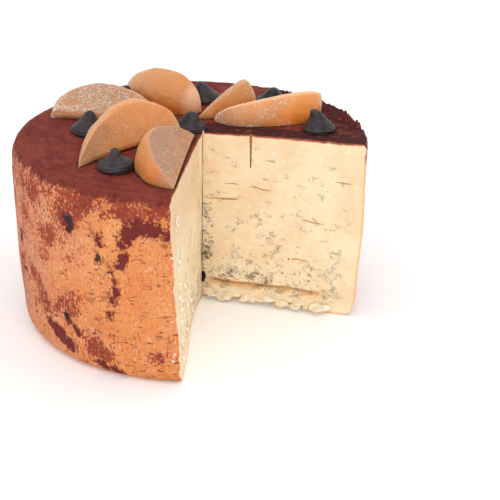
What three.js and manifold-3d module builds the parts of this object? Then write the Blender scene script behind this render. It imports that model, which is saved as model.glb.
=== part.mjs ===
// A blue cheese wheel with one wedge cut out: orange rind, cocoa-dusted top,
// six sugared pear slices and seven chocolate drops lying on it.
// Millimetres, +Z up. The wheel's axis is Z and it rests on the plane z = 0.

import * as THREE from "three";
import { mergeVertices } from "three/addons/utils/BufferGeometryUtils.js";
import { ImprovedNoise } from "three/addons/math/ImprovedNoise.js";
import Module from "manifold-3d";

const wasm = await Module();
wasm.setup();

// Wheel, pressed in a hoop: a little narrower at the foot than at the rim
const WHEEL_RADIUS = 105;
const FOOT_RADIUS = 100.2;
const WHEEL_HEIGHT = 113.3;
const FULL_RADIUS_HEIGHT = 95;
const FOOT_ROUNDING = 7;
const SHOULDER_WIDTH = 8;
const SHOULDER_DEPTH = 7;
const TURN_STEPS = 96;

// The two knife cuts meet at the cut corner, off the axis; directions in degrees from +X
const CUT_CORNER = { x: 4, y: 14.4 };
const LEFT_CUT_DIRECTION = -85.5;
const RIGHT_CUT_DIRECTION = -4.8;
const CUT_REACH = 119;

// The soft top has sunk towards the cut corner
const CORNER_SAG = 3.6;
const SAG_SPREAD = 40;

// Torn layer along the foot of the right cut face, with a crack above it
const LEDGE_CRACK_HEIGHT = 12;
const LEDGE_CRACK_DEPTH = 2.6;
const LEDGE_LENGTH = 78;
const LEDGE_PROUD = 2.2;
const LEDGE_UNDERCUT = 4;

// The left cut face leans: it is cut back at the rim and runs out at the foot
const LEAN_AT_RIM = 2;
const LEAN_AT_FOOT = -3.4;
const FOOT_BITE = { along: 38, spread: 22, depth: 4, height: 9 };

// The rim is rounded in front and sharper at the back, where one stretch is broken and craggy;
// azimuths in degrees
const SHARP_FROM = -6;
const SHARP_TO = 150;
const SHARPENED = 0.75;
const CRAG_FROM = 8;
const CRAG_TO = 66;
const CRAG_HEIGHT = 2.4;

// Clearance between the toppings and what they lie on
const GAP = 0.3;

const ORIGIN_SHIFT = { x: 0.41, y: 0.25 };

const noise = new ImprovedNoise();

const RIND = new THREE.MeshStandardMaterial({ color: 0xe39a62, roughness: 0.75, metalness: 0 });
const PEAR = new THREE.MeshStandardMaterial({ color: 0xd08a4c, roughness: 0.35, metalness: 0 });
const CHOCOLATE = new THREE.MeshStandardMaterial({ color: 0x35292a, roughness: 0.5, metalness: 0 });

// Soft random relief between about -1 and 1, whose lumps are "size" millimetres apart
function lumps(x, y, z, size) {
  return 1.4 * noise.noise(x / size + 7.3, y / size + 2.9, z / size + 5.1);
}

function smoothBetween(value, low, high) {
  return THREE.MathUtils.smoothstep(value, low, high);
}

// 1 from "low" to "high", fading to 0 over "fade" inside each end
function between(value, low, high, fade) {
  return smoothBetween(value, low, low + fade) * (1 - smoothBetween(value, high - fade, high));
}

function moveVertices(geometry, move) {
  const position = geometry.attributes.position;
  const point = new THREE.Vector3();
  for (let i = 0; i < position.count; i += 1) {
    point.fromBufferAttribute(position, i);
    move(point);
    position.setXYZ(i, point.x, point.y, point.z);
  }
  return geometry;
}

// Shared corners are merged and triangles that have shrunk to a line are dropped
function weld(geometry) {
  geometry.deleteAttribute("normal");
  geometry.deleteAttribute("uv");
  const welded = mergeVertices(geometry, 1e-4);
  const corners = welded.index.array;
  const kept = [];
  for (let i = 0; i < corners.length; i += 3) {
    const [a, b, c] = corners.slice(i, i + 3);
    if (a !== b && b !== c && c !== a) {
      kept.push(a, b, c);
    }
  }
  welded.setIndex(kept);
  return welded;
}

function toSolid(geometry) {
  const welded = weld(geometry);
  return new wasm.Manifold(new wasm.Mesh({
    numProp: 3,
    vertProperties: new Float32Array(welded.attributes.position.array),
    triVerts: new Uint32Array(welded.index.array),
  }));
}

function toGeometry(solid) {
  const mesh = solid.getMesh();
  const geometry = new THREE.BufferGeometry();
  geometry.setAttribute("position", new THREE.BufferAttribute(mesh.vertProperties, 3));
  geometry.setIndex(new THREE.BufferAttribute(mesh.triVerts, 1));
  geometry.computeVertexNormals();
  return geometry;
}

// Height of the wheel's top face; the toppings follow it
function topHeight(x, y) {
  const fromCorner = Math.hypot(x - CUT_CORNER.x, y - CUT_CORNER.y);
  const sag = CORNER_SAG * Math.exp(-fromCorner / SAG_SPREAD);
  return WHEEL_HEIGHT - sag + 0.35 * lumps(x, y, 0, 38);
}

function sideRadius(height) {
  const below = Math.max(0, 1 - height / FULL_RADIUS_HEIGHT);
  return FOOT_RADIUS + (WHEEL_RADIUS - FOOT_RADIUS) * (1 - below ** 2.2);
}

// Half section of the wheel, from the middle of its foot to the middle of its top
function wheelSection() {
  const section = [];
  const footFlat = sideRadius(0) - FOOT_ROUNDING;
  for (const share of [0, 0.35, 0.68, 0.9]) {
    section.push(new THREE.Vector2(footFlat * share, 0));
  }
  for (const share of [0, 0.35, 0.7, 1]) {
    const angle = share * Math.PI / 2;
    const height = FOOT_ROUNDING * (1 - Math.cos(angle));
    section.push(new THREE.Vector2(footFlat + FOOT_ROUNDING * Math.sin(angle), height));
  }
  const sideTop = WHEEL_HEIGHT - SHOULDER_DEPTH;
  const sideSteps = 10;
  for (let i = 1; i < sideSteps; i += 1) {
    const height = THREE.MathUtils.lerp(FOOT_ROUNDING, sideTop, i / sideSteps);
    section.push(new THREE.Vector2(sideRadius(height), height));
  }
  const topFlat = WHEEL_RADIUS - SHOULDER_WIDTH;
  for (const share of [0, 0.28, 0.55, 0.8, 1]) {
    const angle = share * Math.PI / 2;
    const height = sideTop + SHOULDER_DEPTH * Math.sin(angle);
    section.push(new THREE.Vector2(topFlat + SHOULDER_WIDTH * Math.cos(angle), height));
  }
  for (const share of [0.92, 0.83, 0.73, 0.61, 0.48, 0.34, 0.18, 0]) {
    section.push(new THREE.Vector2(topFlat * share, WHEEL_HEIGHT));
  }
  return section;
}

// Uneven rind, sunken top and the craggy stretch of the rim; the foot stays flat
function weatherWheel(point) {
  const { x, y, z } = point;
  const radius = Math.hypot(x, y);
  if (radius < 1e-6) {
    point.z = z > 0 ? topHeight(0, 0) : 0;
    return;
  }
  const azimuth = THREE.MathUtils.radToDeg(Math.atan2(y, x));
  const onSide = smoothBetween(z, 1, 12) * smoothBetween(radius, 80, 98);
  const onTop = smoothBetween(z, WHEEL_HEIGHT - 2 * SHOULDER_DEPTH, WHEEL_HEIGHT);
  const onShoulder = z > WHEEL_HEIGHT - SHOULDER_DEPTH ? smoothBetween(radius, 88, 98) : 0;
  const sharp = SHARPENED * onShoulder * between(azimuth, SHARP_FROM, SHARP_TO, 16);
  const crag = between(azimuth, CRAG_FROM, CRAG_TO, 14) * smoothBetween(radius, 84, 96) * onTop;
  const swell = onSide * (0.8 * lumps(x, y, z, 34) + 0.35 * lumps(x, y, z, 13));
  const broken = crag * CRAG_HEIGHT * lumps(x, y, z, 8);
  const newRadius = THREE.MathUtils.lerp(radius, WHEEL_RADIUS, sharp) + swell + 0.4 * broken;
  point.x *= newRadius / radius;
  point.y *= newRadius / radius;
  point.z = THREE.MathUtils.lerp(z, WHEEL_HEIGHT, 0.6 * sharp)
    + onTop * (topHeight(x, y) - WHEEL_HEIGHT) + 0.6 * broken;
}

function wheel() {
  const turned = new THREE.LatheGeometry(wheelSection(), TURN_STEPS);
  turned.rotateX(Math.PI / 2);
  return toSolid(moveVertices(turned, weatherWheel));
}

function cutVector(direction) {
  const angle = THREE.MathUtils.degToRad(direction);
  return new THREE.Vector2(Math.cos(angle), Math.sin(angle));
}

// How far the right cut face lies behind its plane at a place along it
function rightCutRelief(along, height) {
  const crack = LEDGE_CRACK_HEIGHT + 1.6 * lumps(along, 0, 0, 17);
  const share = between(along, 0, LEDGE_LENGTH, 9);
  const uneven = 0.45 * lumps(along, 40, height, 21) + 0.2 * lumps(along, 90, height, 8);
  const lip = smoothBetween(height, 2 + 1.2 * lumps(along, 60, 0, 7), 4.6);
  const torn = 1.1 * lumps(along, 20, height, 6);
  const ledge = THREE.MathUtils.lerp(LEDGE_UNDERCUT, torn - LEDGE_PROUD, lip);
  const belowCrack = 1 - smoothBetween(height, crack - 1, crack);
  const inCrack = between(height, crack - 0.8, crack + 2, 1);
  return uneven + share * (ledge * belowCrack + LEDGE_CRACK_DEPTH * inCrack);
}

function leftCutRelief(along, height) {
  const lean = THREE.MathUtils.lerp(LEAN_AT_FOOT, LEAN_AT_RIM, height / WHEEL_HEIGHT) * along / CUT_REACH;
  const fromBite = (along - FOOT_BITE.along) / FOOT_BITE.spread;
  const bite = FOOT_BITE.depth * Math.exp(-fromBite * fromBite)
    * (1 - smoothBetween(height, 0.3 * FOOT_BITE.height, FOOT_BITE.height));
  const uneven = 0.45 * lumps(along, 140, height, 19) + 0.25 * lumps(along, 170, height, 7);
  return lean + (bite + uneven) * smoothBetween(along, 0, 8);
}

// The piece that the knife took out, as a solid whose two walls carry the cut faces' relief
function takenWedge() {
  const left = cutVector(LEFT_CUT_DIRECTION);
  const right = cutVector(RIGHT_CUT_DIRECTION);
  const wallSteps = 25;
  const wallStep = 5;
  const outline = new THREE.Shape();
  outline.moveTo(0, 0);
  for (let i = 1; i <= wallSteps; i += 1) {
    outline.lineTo(left.x * i * wallStep, left.y * i * wallStep);
  }
  const far = (wallSteps + 4) * wallStep;
  outline.lineTo(left.x * far, left.y * far);
  outline.lineTo(far, -far);
  outline.lineTo(right.x * far, right.y * far);
  for (let i = wallSteps; i >= 1; i -= 1) {
    outline.lineTo(right.x * i * wallStep, right.y * i * wallStep);
  }
  const rows = 31;
  const footRows = 13;
  const footRow = 1.35;
  const upperRow = 5.7;
  const wedge = new THREE.ExtrudeGeometry(outline, { depth: rows, steps: rows, bevelEnabled: false });
  return toSolid(moveVertices(wedge, (point) => {
    // close rows at the torn foot, wider ones above
    const row = point.z;
    const height = footRow * Math.min(row, footRows) + upperRow * Math.max(0, row - footRows) - 2;
    const along = Math.hypot(point.x, point.y);
    const onLeft = along > 0 && Math.abs(point.x * left.y - point.y * left.x) < 1e-3;
    const onRight = along > 0 && Math.abs(point.x * right.y - point.y * right.x) < 1e-3;
    if (onLeft) {
      const relief = leftCutRelief(along, height);
      point.x += left.y * relief;
      point.y -= left.x * relief;
    }
    if (onRight) {
      const relief = rightCutRelief(along, height);
      point.x -= right.y * relief;
      point.y += right.x * relief;
    }
    point.x += CUT_CORNER.x;
    point.y += CUT_CORNER.y;
    point.z = height;
  }));
}

// A rough hollow, wider than it is high or the other way round, to be cut out of a face
function hollow(width, depth, height, turn, place) {
  const lump = new THREE.SphereGeometry(0.5, 8, 5);
  moveVertices(lump, (point) => {
    point.multiplyScalar(1 + 0.25 * lumps(point.x * 9 + place.x, point.y * 9 + place.y, point.z * 9, 4));
  });
  lump.scale(width, depth, height);
  lump.rotateZ(turn);
  lump.translate(place.x, place.y, place.z);
  return toSolid(lump);
}

// Cracks in the cut faces: distance from the cut corner, height, length and gape
const RIGHT_FACE_CRACKS = [
  { along: 13, height: 68.5, length: 21, gape: 1.6 },
  { along: 37, height: 78, length: 13, gape: 1.2 },
  { along: 70, height: 60, length: 16, gape: 1.4 },
  { along: 88, height: 88, length: 12, gape: 1.2 },
  { along: 62, height: 34, length: 14, gape: 1.8 },
];
const LEFT_FACE_CRACKS = [
  { along: 52, height: 66, length: 12, gape: 1.3 },
  { along: 84, height: 38, length: 15, gape: 1.6 },
];

function faceCracks(cracks, direction) {
  const run = cutVector(direction);
  const turn = THREE.MathUtils.degToRad(direction);
  return cracks.map(({ along, height, length, gape }) => hollow(length, 5, gape, turn, {
    x: CUT_CORNER.x + run.x * along,
    y: CUT_CORNER.y + run.y * along,
    z: height,
  }));
}

// Deep spots in the rind: azimuth in degrees, height, width and height of the spot
const RIND_PITS = [
  { azimuth: 242.8, height: 91, width: 5, tall: 8 },
  { azimuth: 253.3, height: 75, width: 4, tall: 4 },
  { azimuth: 186.5, height: 28, width: 6, tall: 7 },
  { azimuth: 183.4, height: 14, width: 5, tall: 5 },
  { azimuth: 239.1, height: 31, width: 7, tall: 4 },
  { azimuth: 143, height: 62, width: 6, tall: 5 },
  { azimuth: 98, height: 38, width: 5, tall: 7 },
  { azimuth: 47, height: 70, width: 5, tall: 5 },
];

function rindPits() {
  return RIND_PITS.map(({ azimuth, height, width, tall }) => {
    const radial = cutVector(azimuth);
    const turn = THREE.MathUtils.degToRad(azimuth + 90);
    const radius = sideRadius(height);
    return hollow(width, 3.6, tall, turn, { x: radial.x * radius, y: radial.y * radius, z: height });
  });
}

// The knife ran on a little past the corner, down its whole height
function cornerSlit() {
  const depth = 5;
  const slit = new THREE.BoxGeometry(1.1, depth, 88);
  slit.translate(0, depth / 2 - 0.5, 0);
  slit.rotateZ(THREE.MathUtils.degToRad(LEFT_CUT_DIRECTION + 90));
  slit.translate(CUT_CORNER.x - 0.2, CUT_CORNER.y, 56);
  return toSolid(slit);
}

// Half of a channel that a skewer left, showing in the right cut face
function skewerChannel() {
  const run = cutVector(RIGHT_CUT_DIRECTION);
  const along = 30.3;
  const length = 26;
  const channel = new THREE.CylinderGeometry(1.2, 0.8, length, 8);
  channel.rotateX(Math.PI / 2);
  channel.translate(CUT_CORNER.x + run.x * along, CUT_CORNER.y + run.y * along, WHEEL_HEIGHT - length / 2 + 3);
  return toSolid(channel);
}

function cheese() {
  let solid = wheel().subtract(takenWedge());
  const cuts = [
    ...faceCracks(RIGHT_FACE_CRACKS, RIGHT_CUT_DIRECTION),
    ...faceCracks(LEFT_FACE_CRACKS, LEFT_CUT_DIRECTION),
    ...rindPits(),
    cornerSlit(),
    skewerChannel(),
    hollow(5, 7, 8, 0, { ...CUT_CORNER, z: 14 }),
  ];
  for (const cut of cuts) {
    solid = solid.subtract(cut);
  }
  return toGeometry(solid);
}

// Pear slices: neck end of the core line, its heading, the slice's length, thickness from core to
// skin, angle of the upper cut face, height of the cored strip, where along it the pear is fullest,
// how quickly the neck fills out and how blunt the base is. "side" is -1 with the skin on the right.
const PEAR_SLICES = [
  { x: -20.3, y: 9.9, heading: 179.6, length: 69.3, thick: 24.9, rise: 30.5, strip: 6, full: 0.59,
    neck: 0.66, base: 1.6, side: -1 },
  { x: -58.4, y: 73.9, heading: -27, length: 61.8, thick: 19, rise: 86, strip: 5, full: 0.71,
    neck: 0.76, base: 1.6, side: -1 },
  { x: -49.6, y: -66.1, heading: 60, length: 84.8, thick: 25.6, rise: 67.5, strip: 3.5, full: 0.59,
    neck: 0.96, base: 1.6, side: 1 },
  { x: 1, y: 7.2, heading: -84.7, length: 93, thick: 26.3, rise: 43.8, strip: 2, full: 0.64,
    neck: 0.97, base: 1.6, side: -1 },
  { x: -3.4, y: 34.6, heading: 71, length: 38.1, thick: 22.2, rise: 52.2, strip: 2, full: 0.76,
    neck: 0.92, base: 2.5, side: -1 },
  { x: 7.6, y: 32.1, heading: 34.3, length: 70.3, thick: 26.2, rise: 31, strip: 6, full: 0.64,
    neck: 0.52, base: 1.9, side: -1 },
];

// Share of the full thickness at a place along the slice, from the neck's tip to the base
function pearFullness(slice, along) {
  if (along < slice.full) {
    const before = (slice.full - along) / slice.full;
    return Math.max(0, 1 - before ** 1.8) ** slice.neck;
  }
  const beyond = (along - slice.full) / (1 - slice.full);
  return Math.sqrt(Math.max(0, 1 - beyond ** slice.base));
}

// Outline across a slice at a place along it: foot, round skin, upper cut face, cored strip
function pearSection(slice, along) {
  const full = pearFullness(slice, along);
  const thick = slice.thick * full;
  const rise = THREE.MathUtils.degToRad(slice.rise);
  // the strip keeps its height nearly to the ends of the slice
  const strip = Math.min(slice.strip * Math.min(1, full / 0.4) ** 0.6, 0.9 * thick);
  const skinFrom = -Math.asin(strip / thick);
  const foot = thick * Math.cos(skinFrom);
  const skinSteps = 7;
  const section = [new THREE.Vector2(0, 0), new THREE.Vector2(0.36 * foot, 0), new THREE.Vector2(0.72 * foot, 0)];
  for (let i = 0; i <= skinSteps; i += 1) {
    const angle = THREE.MathUtils.lerp(skinFrom, rise, i / skinSteps);
    section.push(new THREE.Vector2(thick * Math.cos(angle), strip + thick * Math.sin(angle)));
  }
  for (const share of [0.7, 0.38]) {
    // the cut face has dried slightly hollow
    const reach = 0.97 * share * thick;
    section.push(new THREE.Vector2(reach * Math.cos(rise), strip + reach * Math.sin(rise) - 0.012 * thick));
  }
  section.push(new THREE.Vector2(0, strip));
  return section;
}

function pearSlice(slice, index) {
  const heading = THREE.MathUtils.degToRad(slice.heading);
  const rings = 14;
  const count = pearSection(slice, 0.5).length;
  const positions = [0, 0, 0];
  for (let i = 1; i < rings; i += 1) {
    const along = 0.5 - 0.5 * Math.cos(Math.PI * i / rings);
    for (const corner of pearSection(slice, along)) {
      const waver = 1 + 0.035 * lumps(along * slice.length, corner.x, corner.y + 31 * index, 11);
      positions.push(along * slice.length, slice.side * corner.x * waver, corner.y * waver);
    }
  }
  positions.push(slice.length, 0, 0);
  const last = positions.length / 3 - 1;
  const faces = [];
  for (let j = 0; j < count; j += 1) {
    const next = (j + 1) % count;
    faces.push([0, 1 + next, 1 + j], [last, last - count + j, last - count + next]);
    for (let i = 0; i < rings - 2; i += 1) {
      const a = 1 + i * count;
      const b = a + count;
      faces.push([a + j, a + next, b + next], [a + j, b + next, b + j]);
    }
  }
  const geometry = new THREE.BufferGeometry();
  geometry.setAttribute("position", new THREE.Float32BufferAttribute(positions, 3));
  geometry.setIndex(faces.flatMap((face) => (slice.side > 0 ? face : face.toReversed())));
  const cos = Math.cos(heading);
  const sin = Math.sin(heading);
  moveVertices(geometry, (point) => {
    point.z += topHeight(slice.x + point.x * cos - point.y * sin, slice.y + point.x * sin + point.y * cos) + GAP;
  });
  geometry.computeVertexNormals();
  const mesh = new THREE.Mesh(geometry, PEAR);
  mesh.name = `pear_slice_${index + 1}`;
  mesh.position.set(slice.x, slice.y, 0);
  mesh.rotation.z = heading;
  return mesh;
}

// Shapes of a dropped blob, each as a share of the foot's radius at a share of the height: a cone over
// a rounded foot, and one that spread flat round a nub
const CONE = [[0.99, 0.08], [1.02, 0.18], [0.9, 0.32], [0.72, 0.44], [0.56, 0.58], [0.43, 0.73], [0.29, 0.88],
  [0.14, 0.97]];
const FLAT = [[0.99, 0.08], [1.02, 0.22], [0.9, 0.39], [0.66, 0.51], [0.4, 0.61], [0.29, 0.76], [0.21, 0.9],
  [0.09, 0.98]];

// Chocolate drops: place, width of the foot, height, where the curl at the top leans to, and the shape
const CHOCOLATE_DROPS = [
  { x: -60.3, y: -8.5, width: 20.2, height: 14, lean: 1.5, leanTo: 40, levels: CONE },
  { x: -29, y: -62.7, width: 20.6, height: 12, lean: 2.5, leanTo: 110, levels: FLAT },
  { x: -4.2, y: 17.2, width: 19.9, height: 12.5, lean: 3.6, leanTo: -55, levels: CONE },
  { x: -5.7, y: 67.5, width: 20.3, height: 11.8, lean: 3.4, leanTo: 190, levels: CONE },
  { x: -53.4, y: 45.5, width: 18, height: 13, lean: 3, leanTo: 0, levels: CONE },
  { x: 37, y: 69, width: 20.8, height: 12, lean: 3, leanTo: -60, levels: CONE },
  { x: 72.9, y: 26.7, width: 19.8, height: 13.4, lean: 2.4, leanTo: 175, levels: CONE },
];

function dropSection(width, height, levels) {
  const foot = width / 2;
  const section = [new THREE.Vector2(0, 0), new THREE.Vector2(foot * 0.55, 0), new THREE.Vector2(foot * 0.9, 0)];
  for (const [radius, level] of levels) {
    section.push(new THREE.Vector2(foot * radius, height * level));
  }
  section.push(new THREE.Vector2(0, height));
  return section;
}

function chocolateDrop({ x, y, width, height, lean, leanTo, levels }, index) {
  const towards = cutVector(leanTo);
  const turned = new THREE.LatheGeometry(dropSection(width, height, levels), 15);
  turned.rotateX(Math.PI / 2);
  const geometry = weld(moveVertices(turned, (point) => {
    const up = point.z / height;
    const round = 1 + 0.04 * lumps(point.x + 40 * index, point.y, point.z, 9);
    point.x = point.x * round + towards.x * lean * up * up;
    point.y = point.y * round + towards.y * lean * up * up;
    point.z += topHeight(x + point.x, y + point.y) + GAP;
  }));
  geometry.computeVertexNormals();
  const mesh = new THREE.Mesh(geometry, CHOCOLATE);
  mesh.name = `chocolate_drop_${index + 1}`;
  mesh.position.set(x, y, 0);
  return mesh;
}

const wheelMesh = new THREE.Mesh(cheese(), RIND);
wheelMesh.name = "cheese_wheel";

const toppings = new THREE.Group();
toppings.add(...PEAR_SLICES.map(pearSlice));
toppings.add(...CHOCOLATE_DROPS.map(chocolateDrop));

// The origin lies under the middle of the whole, which its uneven rind shifts a little off the axis
const cheeseWheel = new THREE.Group();
cheeseWheel.add(wheelMesh, toppings);
cheeseWheel.position.set(ORIGIN_SHIFT.x, ORIGIN_SHIFT.y, 0);

export default cheeseWheel;
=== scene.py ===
import math
import random
from collections import namedtuple

import bmesh
import bpy
from mathutils import Matrix, Quaternion, Vector, noise
from mathutils.bvhtree import BVHTree


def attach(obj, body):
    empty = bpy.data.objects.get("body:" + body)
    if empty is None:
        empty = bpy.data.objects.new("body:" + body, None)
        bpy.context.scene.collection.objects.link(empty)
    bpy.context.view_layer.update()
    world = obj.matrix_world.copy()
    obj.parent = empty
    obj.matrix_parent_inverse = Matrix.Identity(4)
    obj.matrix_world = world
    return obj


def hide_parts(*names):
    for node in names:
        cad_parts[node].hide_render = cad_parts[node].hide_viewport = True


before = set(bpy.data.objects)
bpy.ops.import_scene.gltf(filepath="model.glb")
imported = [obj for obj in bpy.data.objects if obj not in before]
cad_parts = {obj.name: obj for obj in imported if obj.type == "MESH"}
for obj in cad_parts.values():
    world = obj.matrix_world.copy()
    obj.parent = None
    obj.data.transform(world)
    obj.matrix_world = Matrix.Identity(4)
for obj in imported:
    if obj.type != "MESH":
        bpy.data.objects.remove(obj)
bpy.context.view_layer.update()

MM = 0.001

# The studio: a white sweep that the wheel stands on, a soft light above and to the right of it,
# another in front, and a weak fill on the left. The camera looks down on it with a long lens.
CAMERA_PLACE = Vector((179.5, -805.8, 415.2)) * MM
CAMERA_AIM = Vector((37.3, 0.5, 41.6)) * MM
CAMERA_ROLL = math.radians(1.04)
LENS = 106.3
SENSOR = 36
FLOOR_SIZE = 8
FLOOR_WHITE = 0.98
FLOOR_GLOW = 0.06
SURROUND = 1.0
KEY = {"place": (0.3, -0.85, 1.25), "size": 0.6, "power": 2.2}
FRONT = {"place": (0.1, -1.6, 0.7), "size": 0.7, "power": 3.1}
FILL = {"place": (-1.2, -0.9, 0.9), "size": 0.9, "power": 0.4}

camera = bpy.data.objects.new("camera", bpy.data.cameras.new("camera"))
camera.data.lens = LENS
camera.data.sensor_width = SENSOR
camera.data.clip_start = 0.01
camera.location = CAMERA_PLACE
gaze = (CAMERA_AIM - CAMERA_PLACE).to_track_quat("-Z", "Y")
camera.rotation_euler = (gaze @ Quaternion((0, 0, 1), CAMERA_ROLL)).to_euler()
bpy.context.collection.objects.link(camera)
bpy.context.scene.camera = camera


def soft_light(name, place, size, power):
    lamp = bpy.data.lights.new(name, "AREA")
    lamp.size = size
    lamp.energy = power
    light = bpy.data.objects.new(name, lamp)
    light.location = place
    light.rotation_euler = (-Vector(place)).to_track_quat("-Z", "Y").to_euler()
    bpy.context.collection.objects.link(light)


soft_light("key_light", **KEY)
soft_light("front_light", **FRONT)
soft_light("fill_light", **FILL)

studio = bpy.data.worlds.new("studio")
studio.use_nodes = True
studio.node_tree.nodes["Background"].inputs["Color"].default_value = (1, 1, 1, 1)
studio.node_tree.nodes["Background"].inputs["Strength"].default_value = SURROUND
bpy.context.scene.world = studio
bpy.context.scene.view_settings.view_transform = "Standard"


def fresh_selection():
    if bpy.context.mode != "OBJECT":
        bpy.ops.object.mode_set(mode="OBJECT")
    bpy.ops.object.select_all(action="DESELECT")


fresh_selection()
bpy.ops.mesh.primitive_plane_add(size=FLOOR_SIZE, location=(0, 0, 0))
floor = bpy.context.object
floor.name = "floor"
floor_paint = bpy.data.materials.new("white_sweep")
floor_paint.use_nodes = True
floor_settings = {
    "Base Color": (FLOOR_WHITE, FLOOR_WHITE, FLOOR_WHITE, 1), "Roughness": 0.9,
    "Emission Color": (1, 1, 1, 1), "Emission Strength": FLOOR_GLOW}
for name, setting in floor_settings.items():
    floor_paint.node_tree.nodes["Principled BSDF"].inputs[name].default_value = setting
floor.data.materials.append(floor_paint)


# The wheel is one pressed body of blue cheese with a washed rind. It is a disc whose rim and foot are
# rounded, a little narrower at the foot; one wedge is cut out of it with two strokes of a knife, and
# the top has sunk towards the corner where the cuts meet.
AXIS = Vector((0.41, 0.25, 0))
WHEEL_RADIUS = 105
FOOT_RADIUS = 100.2
WHEEL_HEIGHT = 113.3
FULL_RADIUS_HEIGHT = 95
ROUNDING = 7.4
ROUNDING_STEPS = 6
TURN_STEPS = 420
SIDE_ROWS = 62
TOP_RINGS = 62
UNDERSIDE_RINGS = 4
CORNER_SAG = 3.6
SAG_SPREAD = 40
CUT_CORNER = Vector((4, 14.4))
LEFT_CUT = math.radians(-85.5)
RIGHT_CUT = math.radians(-4.8)


def lumps(x, y, z, size):
    """Soft random relief between about -1 and 1, its lumps "size" millimetres apart"""
    return noise.noise(Vector((x / size + 7.3, y / size + 2.9, z / size + 5.1)))


def smooth(value, low, high):
    share = min(1, max(0, (value - low) / (high - low)))
    return share * share * (3 - 2 * share)


def between(value, low, high, fade):
    return smooth(value, low, low + fade) * (1 - smooth(value, high - fade, high))


def blend(low, high, share):
    return low + (high - low) * share


def top_height(x, y):
    from_corner = math.hypot(x - CUT_CORNER.x, y - CUT_CORNER.y)
    return WHEEL_HEIGHT - CORNER_SAG * math.exp(-from_corner / SAG_SPREAD) + 0.35 * lumps(x, y, 0, 38)


def side_radius(height):
    below = max(0, 1 - height / FULL_RADIUS_HEIGHT)
    return FOOT_RADIUS + (WHEEL_RADIUS - FOOT_RADIUS) * (1 - below ** 2.2)


def select_in_edit(thing, kind, wanted):
    """Selects the vertices, edges or faces of the edited mesh that "wanted" says yes to"""
    shape = bmesh.from_edit_mesh(thing.data)
    bpy.ops.mesh.select_mode(type=kind)
    bpy.ops.mesh.select_all(action="DESELECT")
    parts = {"VERT": shape.verts, "EDGE": shape.edges, "FACE": shape.faces}[kind]
    for part in parts:
        part.select_set(wanted(part))
    shape.select_flush_mode()
    bmesh.update_edit_mesh(thing.data)


def level_edge(height):
    def is_level(edge):
        return all(abs(corner.co.z - height) < 1e-6 for corner in edge.verts)
    return is_level


fresh_selection()
bpy.ops.mesh.primitive_cylinder_add(
    vertices=TURN_STEPS, radius=WHEEL_RADIUS * MM, depth=WHEEL_HEIGHT * MM, end_fill_type="NGON")
cheese = bpy.context.object
cheese.name = "blue_cheese"
bpy.ops.object.mode_set(mode="EDIT")
half = WHEEL_HEIGHT * MM / 2
for rim in (half, -half):
    select_in_edit(cheese, "EDGE", level_edge(rim))
    bpy.ops.mesh.bevel(offset=ROUNDING * MM, segments=ROUNDING_STEPS, profile=0.5)
select_in_edit(cheese, "EDGE", lambda edge: abs(edge.verts[0].co.z - edge.verts[1].co.z) > half)
bpy.ops.mesh.subdivide(number_cuts=SIDE_ROWS)
for level, rings in ((half, TOP_RINGS), (-half, UNDERSIDE_RINGS)):
    select_in_edit(
        cheese, "FACE", lambda face: len(face.verts) > 4 and face.calc_center_median().z * level > 0)
    for ring in range(rings):
        bpy.ops.mesh.inset(thickness=(WHEEL_RADIUS - ROUNDING) * MM / (rings + 0.6))
bpy.ops.object.mode_set(mode="OBJECT")
for vertex in cheese.data.vertices:
    x, y, z = vertex.co / MM
    taper = side_radius(z + WHEEL_HEIGHT / 2) / WHEEL_RADIUS
    vertex.co = Vector((x * taper, y * taper, z + WHEEL_HEIGHT / 2))

# What the knife took out: a wedge whose two walls leave the relief of the cut faces. The right face
# has a torn layer along its foot under a crack; the left face leans and is bitten at its foot.
CUT_REACH = 119
WALL_HEIGHT = 117
BELOW_FOOT = 2
CUTTER_HEIGHT = WALL_HEIGHT + 2 * BELOW_FOOT
LEDGE_CRACK_HEIGHT = 12
LEDGE_CRACK_DEPTH = 2.6
LEDGE_LENGTH = 78
LEDGE_PROUD = 2.2
LEDGE_UNDERCUT = 4
LEAN_AT_RIM = 2
LEAN_AT_FOOT = -3.4
BITE_ALONG = 38
BITE_SPREAD = 22
BITE_DEPTH = 4
BITE_HEIGHT = 9
ROW_CROWDING = 1.3


def cut_vector(direction):
    return Vector((math.cos(direction), math.sin(direction)))


def right_cut_relief(along, height):
    """How far the right cut face lies behind its plane"""
    crack = LEDGE_CRACK_HEIGHT + 1.6 * lumps(along, 0, 0, 17)
    share = between(along, 0, LEDGE_LENGTH, 9)
    curd = 0.45 * lumps(along, 40, height, 21) + 0.16 * lumps(along, 90, height, 6)
    lip = smooth(height, 2 + 1.6 * lumps(along, 60, 0, 6), 4.6)
    torn = 0.8 * lumps(along, 20, 2 * height, 12) + 0.15 * lumps(along, 21, height, 2.6)
    ledge = blend(LEDGE_UNDERCUT, torn - LEDGE_PROUD, lip)
    below_crack = 1 - smooth(height, crack - 0.8, crack)
    in_crack = between(height, crack - 0.6, crack + 1.8, 0.8)
    return curd + share * (ledge * below_crack + LEDGE_CRACK_DEPTH * in_crack)


def left_cut_relief(along, height):
    lean = blend(LEAN_AT_FOOT, LEAN_AT_RIM, height / WHEEL_HEIGHT) * along / CUT_REACH
    from_bite = (along - BITE_ALONG) / BITE_SPREAD
    bite = BITE_DEPTH * math.exp(-from_bite ** 2) * (1 - smooth(height, 0.3 * BITE_HEIGHT, BITE_HEIGHT))
    crumbly = 0.9 * lumps(along, 130, height, 5) + 0.5 * lumps(along, 131, height, 2.5)
    curd = 0.45 * lumps(along, 140, height, 19) + 0.2 * lumps(along, 170, height, 6)
    return lean + (bite + curd + smooth(along, 96, 114) * crumbly) * smooth(along, 0, 8)


def wall_height(share):
    return WALL_HEIGHT * share ** ROW_CROWDING


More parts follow.
